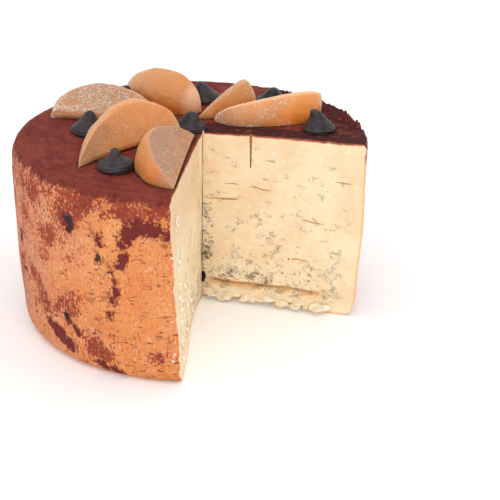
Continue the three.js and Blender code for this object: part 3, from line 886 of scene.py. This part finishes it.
# grey haze lies in small islands with darker broken outlines; thin veins wander between them, and dark
# hollow spots open where it is ripest
vein_colour = paste.mix(low * 0.7, VEIN_PALE, VEIN)
level = paste.vector(from_corner / 1.7, z, corner_y / 1.7)
island = paste.pattern(6, 7, detail=3, where=level, roughness=0.55)
island = island + ripe + (paste.pattern(16, 10) - 0.5) * 0.3
mottle = paste.patches(0.4, 0.6, 2.6, 9, detail=3)
haze = paste.step(island, 0.6, 0.66) * inside
paste.lay(haze * (0.14 + mottle * 0.3), vein_colour)
broken = paste.patches(0.46, 0.6, 4, 6, detail=2)
outline = (1 - paste.step(abs(island - 0.63), 0.004, 0.024)) * broken * inside
paste.lay(outline * 0.55, VEIN)
wandering = abs(paste.pattern(8, 5, detail=3, roughness=0.6) - 0.5)
veined = paste.step(paste.pattern(6, 14, detail=2) + ripe * 0.6, 0.56, 0.63)
veins = (1 - paste.step(wandering, 0.008, 0.034)) * veined * inside
paste.lay(veins * 0.55, VEIN)
darkest = low.larger(cornered * 0.6 + by_slit * 0.5 + on_left * 0.4)
spots = paste.pattern(3.4, 31, detail=5, where=level, roughness=0.7) + ripe * 1.6
spots = paste.step(spots, 0.69, 0.745) * inside
paste.lay(spots * (0.3 + darkest * 0.42), VEIN_DARK)
flecks = paste.step(paste.pattern(1.4, 12, detail=3) + ripe * 1.1, 0.67, 0.73) * inside
paste.lay(flecks * (0.12 + darkest * 0.56), VEIN_DARK)
# painted amber shade along the crack over the torn layer at the foot
ledge_crack_shade = paste.step(corner_x, 3, 9) * (1 - paste.step(abs(z - LEDGE_CRACK_HEIGHT - 0.5), 0.6, 3.2))
ledge_crack_shade = ledge_crack_shade * paste.patches(0.36, 0.5, 9, 21, detail=3) * (1 - paste.step(from_corner, 74, 84))
paste.lay(ledge_crack_shade * 0.55, AMBER_SHADE)
# painted shade: the left face is darker towards its top
left_top_shade = left_face * paste.step(z, 58, 100)
paste.lay(left_top_shade * 0.5, tone(216, 174, 136))
# the skin shows as a thin line round the cut, reddish under the cocoa
soak_fray = (paste.pattern(2.5, 13, detail=3) - 0.5) * 1.8
rim_line = 1 - paste.step(depth + soak_fray, 0.6, 2)
paste.lay(rim_line * 0.6, RIND_LINE)
soaked = rim_line * paste.step(z, 98, 109)
paste.lay(soaked, SOAKED)
paste.colour(paste.paint)
curd = paste.pattern(2.2, 17, detail=4) * 0.4 + paste.pattern(7, 19) * 0.4 + layers * 0.35
paste.relief(curd - veins * 0.3 - spots * 0.5, 0.8)


def mottled(finish, size, seed, detail, low, high, first, second):
    """Two tones that change over in lumps "size" millimetres apart"""
    return finish.mix(finish.patches(low, high, size, seed, detail), first, second)


# inside the cracks the paste is oily and amber; the slit and the skewer's channel are dark with mould,
# rusty brown near the top
crack = Finish(surfaces[CRACK_FACE], roughness=0.5, subsurface=0.1, scatter=(1, 0.6, 0.3))
crack.colour(mottled(crack, 2.5, 1, 3, 0.5, 0.66, tone(242, 200, 136), tone(214, 160, 102)))
crack.relief(crack.pattern(1.5, 3, detail=3), 0.5)
slit_finish = Finish(surfaces[SLIT_FACE], roughness=0.8)
x, y, z = slit_finish.axes()
in_channel = slit_finish.step(x, 10, 20)
rusty = slit_finish.mix(slit_finish.pattern(3, 1, detail=3), tone(158, 94, 66), tone(196, 136, 98))
rusty = slit_finish.mix(in_channel, tone(226, 176, 118), rusty)
mouldy = mottled(slit_finish, 3, 2, 3, 0.5, 0.6, tone(48, 42, 40), tone(92, 86, 76))
mould_top = z + (slit_finish.pattern(6, 3) - 0.5) * 14 - in_channel * 26
slit_finish.colour(slit_finish.mix(slit_finish.step(mould_top, 66, 76), mouldy, rusty))
slit_finish.relief(slit_finish.pattern(1.5, 5, detail=3), 0.5)
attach(cheese, "root")
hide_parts("cheese_wheel")


# Six slices of candied pear. Each was cut lengthwise from a pear and cored, so it has a round skin
# side, a cut face that slopes up from the core, and a narrow cored strip; it lies on its flat side.
PearSlice = namedtuple("PearSlice", "x y heading length thick rise strip full neck base side bend")
PEAR_SLICES = [
    PearSlice(-20.3, 9.9, 179.6, 69.3, 24.9, 30.5, 6, 0.59, 0.66, 1.6, -1, 0.05),
    PearSlice(-58.4, 73.9, -27, 61.8, 19, 86, 5, 0.71, 0.76, 1.6, -1, 0.1),
    PearSlice(-49.6, -66.1, 60, 84.8, 25.6, 67.5, 3.5, 0.59, 0.96, 1.6, 1, 0.1),
    PearSlice(1, 7.2, -84.7, 93, 26.3, 43.8, 2, 0.64, 0.97, 1.6, -1, 0.06),
    PearSlice(-3.4, 34.6, 71, 38.1, 24.6, 52.2, 2, 0.76, 0.92, 2.5, -1, 0.18),
    PearSlice(7.6, 32.1, 34.3, 70.3, 27.2, 31, 6, 0.64, 0.52, 1.9, -1, 0.1),
]
PEAR_RINGS = 46
SKIN_STEPS = 20
FACE_STEPS = 9
STRIP_STEPS = 4
FOOT_STEPS = 5
BEND_STEPS = 4
STRIP_FADE = 0.4
SUNK = 0.25


def pear_fullness(slice_, along):
    """Share of the full thickness, from the neck's tip to the base"""
    if along < slice_.full:
        before = (slice_.full - along) / slice_.full
        return max(0, 1 - before ** 1.8) ** slice_.neck
    beyond = (along - slice_.full) / (1 - slice_.full)
    return math.sqrt(max(0, 1 - beyond ** slice_.base))


def pear_section(slice_, along):
    """Outline across a slice; each corner ends with 0 on the skin, 1 on the cut face or 2 on the strip"""
    full = pear_fullness(slice_, along)
    thick = slice_.thick * full
    # the corer left a strip that keeps its height nearly to the ends
    strip = min(slice_.strip * min(1, full / STRIP_FADE) ** 0.6, 0.95 * thick)
    rise = math.radians(slice_.rise)
    skin_from = -math.asin(strip / thick)
    foot = thick * math.cos(skin_from)
    outline = [(foot * 0.85 * i / FOOT_STEPS, 0, 0) for i in range(FOOT_STEPS)]
    # the edge between the skin and the cut face slumped round as the pear was candied
    bend = slice_.bend * thick
    bend_from = rise - math.asin(bend / (thick - bend))
    for i in range(SKIN_STEPS + 1):
        angle = blend(skin_from, bend_from, 0.5 - 0.5 * math.cos(math.pi * i / SKIN_STEPS))
        outline.append((thick * math.cos(angle), strip + thick * math.sin(angle), 0))
    for i in range(BEND_STEPS):
        angle = blend(bend_from, rise + math.pi / 2, (i + 1) / (BEND_STEPS + 1))
        outline.append(((thick - bend) * math.cos(bend_from) + bend * math.cos(angle),
                        strip + (thick - bend) * math.sin(bend_from) + bend * math.sin(angle), 0.5))
    face_reach = math.sqrt((thick - bend) ** 2 - bend ** 2)
    for i in range(FACE_STEPS):
        share = blend(0.98, 0.04, i / (FACE_STEPS - 1))
        dip = 0.035 * thick * math.sin(math.pi * share)
        outline.append((face_reach * share * math.cos(rise) + dip * math.sin(rise),
                        strip + face_reach * share * math.sin(rise) - dip * math.cos(rise), 1))
    for i in range(STRIP_STEPS):
        outline.append((0, strip * (1 - i / STRIP_STEPS), 2 if i else 1.5))
    return outline


def pear_slice(slice_, number):
    fresh_selection()
    steps = [0.5 - 0.5 * math.cos(math.pi * (ring + 0.7) / (PEAR_RINGS + 0.4)) for ring in range(PEAR_RINGS)]
    rings = [pear_section(slice_, along) for along in steps]
    bpy.ops.mesh.primitive_circle_add(vertices=len(rings[0]), radius=1, fill_type="NGON")
    pear = bpy.context.object
    pear.name = f"candied_pear_{number}"
    bpy.ops.object.mode_set(mode="EDIT")
    bpy.ops.mesh.select_all(action="SELECT")
    for _ in rings[1:]:
        bpy.ops.mesh.extrude_region_move(TRANSFORM_OT_translate={"value": (0, 0, 1)})
    bpy.ops.object.mode_set(mode="OBJECT")
    marks = {name: pear.data.attributes.new(name, "FLOAT", "POINT") for name in ("face", "along", "up")}
    wall = len(rings[0])
    for vertex in pear.data.vertices:
        ring = round(vertex.co.z)
        out, up, face = rings[ring][vertex.index % wall]
        vertex.co = Vector((steps[ring] * slice_.length, out, up))
        marks["face"].data[vertex.index].value = face
        marks["along"].data[vertex.index].value = steps[ring]
        marks["up"].data[vertex.index].value = up / slice_.thick
    bpy.ops.object.mode_set(mode="EDIT")
    turn_outwards()
    bpy.ops.object.mode_set(mode="OBJECT")
    apply_modifier(pear, "SUBSURF", levels=1, render_levels=1)
    apply_modifier(pear, "SMOOTH", factor=0.5, iterations=8)
    heading = math.radians(slice_.heading)
    for vertex in pear.data.vertices:
        along, out, up = vertex.co
        wrinkle = 1 + 0.05 * lumps(along, out, up + 31 * number, 13) + 0.014 * lumps(along, out, up, 3.5)
        out *= slice_.side * wrinkle
        up *= wrinkle
        x = slice_.x + along * math.cos(heading) - out * math.sin(heading)
        y = slice_.y + along * math.sin(heading) + out * math.cos(heading)
        vertex.co = Vector((x, y, up + top_height(x, y) - SUNK))
    if slice_.side < 0:
        pear.data.flip_normals()
    settle(pear)
    bpy.ops.object.shade_smooth()
    return pear


# What each slice looks like: the skin where it is lit, the deep tone that is painted low down as shade and
# also colours the strip, the cut face, the neck and how far along the slice it reaches, the rim at the base
# and where it starts, and how thickly sugar lies on it
PearLook = namedtuple("PearLook", "skin deep face neck neck_to rim rim_from sugar")
PEAR_LOOKS = [
    PearLook(tone(210, 150, 92), tone(210, 152, 104), tone(196, 142, 96), tone(188, 150, 120), 0.3,
             tone(206, 186, 168), 0.9, 1.0),
    PearLook(tone(212, 144, 80), tone(210, 122, 52), tone(214, 160, 112), tone(206, 160, 118), 0.36,
             tone(244, 208, 180), 0.88, 0.2),
    PearLook(tone(220, 150, 84), tone(200, 128, 62), tone(226, 150, 76), tone(172, 128, 88), 0.62,
             tone(222, 172, 128), 0.9, 0.6),
    PearLook(tone(208, 142, 76), tone(216, 126, 46), tone(170, 116, 74), tone(208, 148, 90), 0.22,
             tone(180, 140, 114), 0.955, 0.6),
    PearLook(tone(202, 146, 84), tone(206, 126, 50), tone(196, 142, 88), tone(204, 142, 76), 0.3,
             tone(206, 172, 142), 0.7, 0.4),
    PearLook(tone(232, 164, 84), tone(238, 140, 42), tone(214, 154, 96), tone(206, 160, 120), 0.6,
             tone(242, 208, 180), 0.9, 0.6),
]


def pear_finish(look, number):
    candied = bpy.data.materials.new(f"candied_pear_{number}")
    finish = Finish(candied, subsurface=0.9, scatter=(1, 0.48, 0.2), specular=0.5)
    finish.set("Subsurface Scale", 6 * MM)
    finish.set("Sheen Weight", 0.12)
    finish.set("Sheen Roughness", 0.4)
    finish.set("Sheen Tint", (1, 0.9, 0.76, 1))
    face = finish.attribute("face")
    along = finish.attribute("along")
    up = finish.attribute("up")
    cloudy = finish.pattern(10, number, detail=3) - 0.5
    # painted shade: the skin turns to the deep tone low down, where less light reaches the flesh, and the cut
    # face does too in random patches that lie lower down
    low = 1 - finish.step(up + cloudy * 0.5, 0.1, 0.75)
    shaded_skin_tone = finish.mix(low, look.skin, look.deep)
    face_low = finish.step(finish.pattern(9, number + 10, detail=3) - up * 0.25, 0.36, 0.56)
    face_tone = finish.mix(face_low * 0.45, look.face, look.deep)
    on_face = finish.step(face + (finish.pattern(4, number + 20) - 0.5) * 0.3, 0.3, 0.8)
    on_strip = finish.step(face, 1.35, 1.6)
    finish.paint = finish.mix(on_face, shaded_skin_tone, face_tone)
    neck = 1 - finish.step(along + cloudy * 0.25, 0.02, look.neck_to)
    finish.lay(neck * 0.8, look.neck)
    rim = finish.step(along + cloudy * 0.12, look.rim_from, min(1, look.rim_from + 0.09))
    finish.lay(rim * (0.6 + on_face * 0.2), look.rim)
    finish.lay(on_strip * 0.7, look.deep)
    # frosted and pale along the rounded edge: partly sugar frost, partly a painted highlight where the edge
    # catches the light
    edge = finish.step(1 - abs(face - 0.5) * 2 + cloudy * 0.6, 0.2, 1)
    finish.lay(edge * 0.45, look.rim)
    # a fine bloom of dried syrup: light grains and small shaded dents between them
    shaded = finish.patches(0.5, 0.7, 0.9, number + 5, detail=4)
    grainy = on_face.larger(neck)
    finish.lay(shaded * (0.16 + grainy * 0.16), tone(150, 90, 54))
    frost = finish.patches(0.5, 0.7, 0.8, number + 40, detail=3) * (0.35 + grainy * 0.65)
    finish.lay(frost * (0.24 + 0.25 * look.sugar), tone(248, 226, 206))
    finish.colour(finish.paint)
    finish.roughness(0.4 + frost * 0.3)
    finish.relief(
        finish.pattern(0.9, number + 50, detail=3) * (0.2 + on_face * look.sugar * 0.5)
        + finish.pattern(5, number + 60, detail=3) * 0.45, 0.7)
    return finish.material


pears = []
for number, (slice_, look) in enumerate(zip(PEAR_SLICES, PEAR_LOOKS), start=1):
    pear = pear_slice(slice_, number)
    pear.data.materials.append(pear_finish(look, number))
    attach(pear, "root")
    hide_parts(f"pear_slice_{number}")
    pears.append(pear)

# syrup ran off the slices and soaked the cocoa at their feet; the dark halo there is also painted contact
# shadow
DAMP_AND_SHADE_REACH = 1.7
DAMP_AND_SHADE_FROM = WHEEL_HEIGHT - 8
skins = [surface_of(pear) for pear in pears]
damp_and_shade_mark = cheese.data.attributes.new("damp_and_shade", "FLOAT", "POINT").data
for vertex in cheese.data.vertices:
    if vertex.co.z > DAMP_AND_SHADE_FROM * MM:
        gaps = [pear_skin.find_nearest(vertex.co, 4 * DAMP_AND_SHADE_REACH * MM)[3] for pear_skin in skins]
        gap = min((gap for gap in gaps if gap is not None), default=1) / MM
        damp_and_shade_mark[vertex.index].value = math.exp(-(gap / DAMP_AND_SHADE_REACH) ** 2)

# Sugar that dried out of the syrup: coarse clear crystals, thick in patches on some cut faces and thin
# on the skin, each stuck where it grew
SUGAR_SEED = 11
CRYSTAL_SIZES = [(0.14, 0.36), (0.16, 0.36), (0.14, 0.3), (0.14, 0.34), (0.16, 0.4), (0.16, 0.44)]
# crystals on each slice: on its cut face, and on its skin, gathered in patches
SUGAR_COUNTS = [(3000, 90), (20, 60), (300, 60), (380, 60), (240, 160), (1100, 1700)]
PATCH_SIZE = 9
PATCHES = [-0.36, 0.1, 0, -0.1, 0.05, 0.02]
# how far along each slice, from the neck, the sugar reaches
SUGAR_REACH = [1, 1, 1, 1, 0.8, 0.6]
draw = random.Random(SUGAR_SEED)


def in_place_order(places):
    """The order of some places by their coordinates, the same in each run, as that of the faces isn't"""
    return sorted(range(len(places)), key=lambda i: [round(value / MM, 3) for value in places[i]])


def scatter_spots(thing, count, wanted):
    """Random places on the faces that "wanted" says yes to, evenly over their area, with the normals"""
    faces = [face for face in thing.data.polygons if wanted(face)]
    faces = [faces[i] for i in in_place_order([face.center for face in faces])]
    picked = draw.choices(faces, weights=[face.area for face in faces], k=count)
    spots = []
    for face in picked:
        corners = [thing.data.vertices[i].co for i in face.vertices]
        first = in_place_order(corners)[0]
        corners = corners[first:] + corners[:first]
        a, b = sorted((draw.random(), draw.random()))
        first, second, third = corners[0], corners[1], corners[2]
        if len(corners) > 3 and draw.random() < 0.5:
            second, third = corners[2], corners[3]
        spots.append((first * a + second * (b - a) + third * (1 - b), face.normal.copy(), face))
    return spots


def crystal_mesh(name):
    """One crystal: a small block with its corners cut, modelled once and copied"""
    fresh_selection()
    bpy.ops.mesh.primitive_cube_add(size=1)
    crystal = bpy.context.object
    crystal.name = name
    bpy.ops.object.mode_set(mode="EDIT")
    select_in_edit(crystal, "VERT", lambda corner: corner.co.x * corner.co.y * corner.co.z > 0)
    bpy.ops.mesh.bevel(offset=0.22, segments=1, affect="VERTICES")
    bpy.ops.object.mode_set(mode="OBJECT")
    return crystal


def spread_copies(name, grain, places):
    """One mesh that holds a copy of the grain at each place, given as a matrix"""
    corners = [vertex.co.copy() for vertex in grain.data.vertices]
    faces = [tuple(face.vertices) for face in grain.data.polygons]
    spread = bpy.data.meshes.new(name)
    spread.from_pydata(
        [place @ corner for place in places for corner in corners], [],
        [tuple(i + len(corners) * n for i in face) for n in range(len(places)) for face in faces])
    bpy.data.objects.remove(grain)
    made = bpy.data.objects.new(name, spread)
    bpy.context.collection.objects.link(made)
    return made


def grain_place(spot, normal, low, high, sink=0.2, flat=1):
    """A random turn and size at a spot, standing out along the normal"""
    size = draw.uniform(low, high) * MM
    turn = normal.to_track_quat("Z", "Y") @ Quaternion((0, 0, 1), draw.uniform(0, 2 * math.pi))
    tilt = Quaternion((draw.uniform(-1, 1), draw.uniform(-1, 1), 0.3), draw.uniform(0, 0.9))
    stretch = Matrix.Diagonal((size * draw.uniform(0.7, 1.3), size * draw.uniform(0.7, 1.3), size * flat, 1))
    return Matrix.LocRotScale(spot + normal * size * flat * (0.5 - sink), turn @ tilt, None) @ stretch


places = []
for pear, (on_face, on_skin), sizes, bare_below, reach in zip(
        pears, SUGAR_COUNTS, CRYSTAL_SIZES, PATCHES, SUGAR_REACH):
    face_mark = pear.data.attributes["face"].data
    along_mark = pear.data.attributes["along"].data
    for count, low, high in ((on_face, 0.6, 1.45), (on_skin, -0.1, 0.4)):
        def sugared(face):
            return low <= face_mark[face.vertices[0]].value <= high and face.normal.z > -0.3

        for spot, normal, face in scatter_spots(pear, count, sugared):
            # a crystal that is left out is drawn all the same, so that the next ones stay as they are
            place = grain_place(spot, normal, *sizes)
            if lumps(*(spot / MM), PATCH_SIZE) > bare_below and along_mark[face.vertices[0]].value < reach:
                places.append(place)
sugar = spread_copies("sugar_crystals", crystal_mesh("crystal"), places)
sugar_finish = Finish(bpy.data.materials.new("sugar_crystal"), roughness=0.12, specular=0.7)
# a faint white glow, painted light that brightens the crystals' glints
sugar_finish.set("Emission Color", (1, 0.97, 0.93, 1))
sugar_finish.set("Emission Strength", 0.05)
sugar_finish.colour(mottled(sugar_finish, 1.2, 1, 1, 0.42, 0.6, tone(208, 174, 146), tone(248, 242, 234)))
sugar.data.materials.append(sugar_finish.material)
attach(sugar, "root")


# Seven drops of dark chocolate, piped warm onto the crust. Each spread to a round foot and was pulled
# up to a small tip that curled over as the bag was lifted.
Drop = namedtuple("Drop", "x y width height lean lean_to levels")
DROP_STEPS = 32
DROP_BASE = 0.86
# share of the foot's radius at a share of the height: most rise in a cone, one spread flat round a nub,
# one has a ridge over its foot
CONE = [
    (0.96, 0.03), (1.01, 0.1), (1.02, 0.18), (0.97, 0.26), (0.88, 0.33), (0.77, 0.4), (0.67, 0.48),
    (0.58, 0.56), (0.51, 0.64), (0.44, 0.72), (0.37, 0.8), (0.3, 0.88), (0.21, 0.94), (0.1, 0.985),
]
FLAT = [
    (0.96, 0.04), (1.02, 0.13), (1.02, 0.25), (0.96, 0.35), (0.84, 0.43), (0.7, 0.49), (0.56, 0.54),
    (0.43, 0.59), (0.34, 0.65), (0.3, 0.73), (0.27, 0.81), (0.23, 0.89), (0.16, 0.95), (0.08, 0.985),
]
RIDGED = [
    (0.95, 0.03), (1.01, 0.09), (1.02, 0.17), (0.97, 0.24), (0.88, 0.29), (0.83, 0.34), (0.76, 0.4),
    (0.66, 0.48), (0.55, 0.57), (0.46, 0.67), (0.39, 0.77), (0.35, 0.86), (0.27, 0.94), (0.14, 0.985),
]
CHOCOLATE_DROPS = [
    Drop(-60.3, -8.5, 20.2, 14, 1.5, 40, CONE),
    Drop(-29, -62.7, 20.6, 12, 2.5, 110, FLAT),
    Drop(-4.2, 17.2, 19.9, 12.5, 3.6, -55, CONE),
    Drop(-5.7, 67.5, 20.3, 11.8, 3.4, 190, CONE),
    Drop(-53.4, 45.5, 18, 13, 3, 0, CONE),
    Drop(37, 69, 20.8, 12, 3, -60, CONE),
    Drop(72.9, 26.7, 19.8, 13.4, 3.2, 185, RIDGED),
]


def chocolate_drop(drop, number):
    fresh_selection()
    foot = drop.width / 2
    bpy.ops.mesh.primitive_circle_add(vertices=DROP_STEPS, radius=foot * DROP_BASE, fill_type="NGON")
    chocolate = bpy.context.object
    chocolate.name = f"piped_chocolate_{number}"
    bpy.ops.object.mode_set(mode="EDIT")
    bpy.ops.mesh.select_all(action="SELECT")
    radius, level = DROP_BASE, 0
    for next_radius, next_level in drop.levels:
        rise = (next_level - level) * drop.height
        bpy.ops.mesh.extrude_region_move(TRANSFORM_OT_translate={"value": (0, 0, rise)})
        grow = next_radius / radius
        bpy.ops.transform.resize(value=(grow, grow, 1), center_override=(0, 0, 0))
        radius, level = next_radius, next_level
    bpy.ops.mesh.extrude_region_move(TRANSFORM_OT_translate={"value": (0, 0, 0.015 * drop.height)})
    bpy.ops.mesh.merge(type="CENTER")
    turn_outwards()
    bpy.ops.object.mode_set(mode="OBJECT")
    apply_modifier(chocolate, "SUBSURF", levels=2, render_levels=2)
    towards = cut_vector(math.radians(drop.lean_to))
    for vertex in chocolate.data.vertices:
        x, y, z = vertex.co
        up = z / drop.height
        uneven = 1 + 0.07 * lumps(x + 40 * number, y, z, 9) + 0.02 * lumps(x, y + 40 * number, z, 3)
        uneven += 0.03 * math.sin(2 * math.pi * z / 1.8 + 3 * lumps(x, y, number, 8)) * (1 - up)
        x = x * uneven + towards.x * drop.lean * up ** 2.4
        y = y * uneven + towards.y * drop.lean * up ** 2.4
        spot = (drop.x + x, drop.y + y)
        vertex.co = Vector((*spot, z + top_height(*spot) - SUNK))
    settle(chocolate)
    bpy.ops.object.shade_smooth()
    return chocolate


coat = Finish(bpy.data.materials.new("dark_chocolate"), subsurface=0.02, specular=0.4)
bloom = coat.pattern(5, 1, detail=4)
coat.paint = coat.mix(coat.step(bloom, 0.38, 0.66), tone(30, 22, 24), tone(60, 48, 52))
coat.lay(coat.patches(0.64, 0.74, 0.9, 3, detail=3) * 0.3, tone(116, 100, 100))
coat.colour(coat.paint)
coat.roughness(0.3 + bloom * 0.3)
coat.relief(coat.pattern(1.2, 5, detail=3) * 0.35 + coat.pattern(4, 7) * 0.5, 0.5)

for number, drop in enumerate(CHOCOLATE_DROPS, start=1):
    chocolate = chocolate_drop(drop, number)
    chocolate.data.materials.append(coat.material)
    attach(chocolate, "root")
    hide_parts(f"chocolate_drop_{number}")

# Ragged flakes that tore loose along the foot of the right cut and still cling to the torn layer: thin
# broken plates of paste, some tipped outwards
FLAKE_SEED = 5
FLAKE_COUNT = 17
FLAKE_STRETCH = (3, 80)


def flake(along, wide, tall, thick, rise, out, turn, tip):
    bpy.ops.mesh.primitive_circle_add(vertices=draw.choice((5, 6, 7)), radius=0.5, fill_type="NGON")
    chip = bpy.context.object
    for corner in chip.data.vertices:
        corner.co *= draw.uniform(0.7, 1.25)
    chip.data.transform(Matrix.Diagonal((wide, tall, 1, 1)))
    bpy.ops.object.mode_set(mode="EDIT")
    bpy.ops.mesh.select_all(action="SELECT")
    bpy.ops.mesh.extrude_region_move(TRANSFORM_OT_translate={"value": (0, 0, thick)})
    turn_outwards()
    bpy.ops.mesh.bevel(offset=0.25, segments=1)
    bpy.ops.mesh.quads_convert_to_tris()
    bpy.ops.mesh.subdivide(number_cuts=2)
    bpy.ops.object.mode_set(mode="OBJECT")
    for vertex in chip.data.vertices:
        x, y, z = vertex.co
        rough = 0.35 * lumps(x + 40 * along, y, z, 2.5)
        vertex.co = Vector((x + rough, y - rough, z + 0.6 * lumps(x, y + 40 * along, 0, 6) + rough))
    chip.data.transform(Matrix.Rotation(tip, 4, "X"))
    chip.data.transform(Matrix.Rotation(turn + RIGHT_CUT, 4, "Z"))
    spot = CUT_CORNER + right * along + Vector((right.y, -right.x)) * out
    chip.data.transform(Matrix.Translation((spot.x, spot.y, rise)))
    return chip


fresh_selection()
draw = random.Random(FLAKE_SEED)
flakes = []
for number in range(FLAKE_COUNT):
    along = blend(*FLAKE_STRETCH, (number + draw.uniform(0.1, 0.9)) / FLAKE_COUNT)
    flakes.append(flake(
        along, draw.uniform(5, 12), draw.uniform(3.6, 6.5), draw.uniform(0.7, 1.2), draw.uniform(2.8, 5.6),
        draw.uniform(1.6, 3.4), draw.uniform(-0.5, 0.5), draw.uniform(0.3, 1.3)))
flakes = join(flakes)
flakes.name = "foot_flakes"
settle(flakes)
bpy.ops.object.shade_smooth_by_angle(angle=math.radians(40))
flaked = bpy.data.materials.new("flaked_paste")
flake_finish = Finish(flaked, roughness=0.6, subsurface=0.3, scatter=(1, 0.65, 0.4))
flake_finish.colour(mottled(flake_finish, 4, 1, 3, 0.42, 0.6, PASTE_PALE, PASTE_WARM))
flake_finish.relief(flake_finish.pattern(2, 3, detail=4), 0.6)
flakes.data.materials.clear()
flakes.data.materials.append(flaked)
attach(flakes, "root")

# Crumbs of paste that the knife dragged along the left cut: most cling to its outer edge, some to the
# face near it, and a few were smeared round onto the rind
CRUMB_SEED = 8
RIM_CRUMBS = 50
FACE_CRUMBS = 40
SKIN_CRUMBS = 9
HIGHLIGHT_BEAD_HEIGHT = 110.4
HIGHLIGHT_BEAD_SIZE = (1.4, 1.4, 4)


def crumb_mesh(name):
    fresh_selection()
    bpy.ops.mesh.primitive_ico_sphere_add(subdivisions=2, radius=0.5)
    crumb = bpy.context.object
    crumb.name = name
    for vertex in crumb.data.vertices:
        vertex.co *= 1 + 0.5 * lumps(*vertex.co, 0.5)
    return crumb


def grain_on(start, towards, low, high, sink, flat):
    """The place of a crumb where a line from the start meets the wheel"""
    spot, normal, _, _ = cheese_in_mm.ray_cast(start, towards)
    # a crumb that misses is drawn all the same, so that the next ones stay as they are
    place = grain_place((spot or start) * MM, normal or towards, low, high, sink, flat)
    return [Matrix.Scale(1 / MM, 4) @ place] if spot else []


draw = random.Random(CRUMB_SEED)
places = []
off_left_cut = Vector((-left.y, left.x, 0))
for number in range(RIM_CRUMBS + FACE_CRUMBS):
    along = 103 - 6 * draw.random() ** 2 if number < RIM_CRUMBS else draw.uniform(52, 99)
    height = draw.uniform(8, 98) if number < RIM_CRUMBS else draw.triangular(8, 52, 26)
    spot = (CUT_CORNER + left * along).to_3d() + off_left_cut * 12 + Vector((0, 0, height))
    places += grain_on(spot, -off_left_cut, 0.7, 2.4, 0.2, 0.7)
for number in range(SKIN_CRUMBS):
    azimuth = math.radians(draw.triangular(276.4, 277.7, 277.6))
    outwards = Vector((math.cos(azimuth), math.sin(azimuth), 0))
    height = draw.triangular(12, 52, 28) if number % 3 else draw.uniform(10, 96)
    places += grain_on(outwards * 130 + Vector((0, 0, height)), -outwards, 0.6, 1.6, 0.3, 0.6)
# a pale bead where the two cuts meet at the top: a painted highlight, made as a drop of fat
highlight_bead = Vector((CUT_CORNER.x + 0.4, CUT_CORNER.y - 0.6, HIGHLIGHT_BEAD_HEIGHT))
places.append(Matrix.LocRotScale(highlight_bead, None, Vector(HIGHLIGHT_BEAD_SIZE)))
paste_crumbs = spread_copies("paste_crumbs", crumb_mesh("paste_crumb"), places)
settle(paste_crumbs)
crumbled = bpy.data.materials.new("paste_crumb")
crumb_finish = Finish(crumbled, roughness=0.6, subsurface=0.3, scatter=(1, 0.8, 0.6))
crumb_finish.colour(mottled(crumb_finish, 3, 1, 2, 0.35, 0.6, PASTE_PALE, tone(253, 245, 226)))
paste_crumbs.data.materials.append(crumbled)
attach(paste_crumbs, "root")

# Crumbs of the cocoa crust that broke off where the rim at the back is craggy. They lie where they
# fell, half sunk in the powder on the top.
CRUST_CRUMBS = 170

places = []
for number in range(CRUST_CRUMBS):
    azimuth = math.radians(draw.triangular(8, 84, 32))
    reach = 104 - 22 * draw.random() ** 1.5
    start = Vector((math.cos(azimuth) * reach, math.sin(azimuth) * reach, 130))
    places += grain_on(start, Vector((0, 0, -1)), 0.6, 3, 0.5, 0.6)
crust_crumbs = spread_copies("crust_crumbs", crumb_mesh("crust_crumb"), places)
settle(crust_crumbs)
crust_finish = Finish(bpy.data.materials.new("cocoa_crust"), roughness=0.85, specular=0.18)
crust_finish.colour(mottled(crust_finish, 3, 1, 2, 0.4, 0.6, COCOA_DARK, COCOA))
crust_finish.relief(crust_finish.pattern(1, 3, detail=3), 0.4)
crust_crumbs.data.materials.append(crust_finish.material)
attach(crust_crumbs, "root")
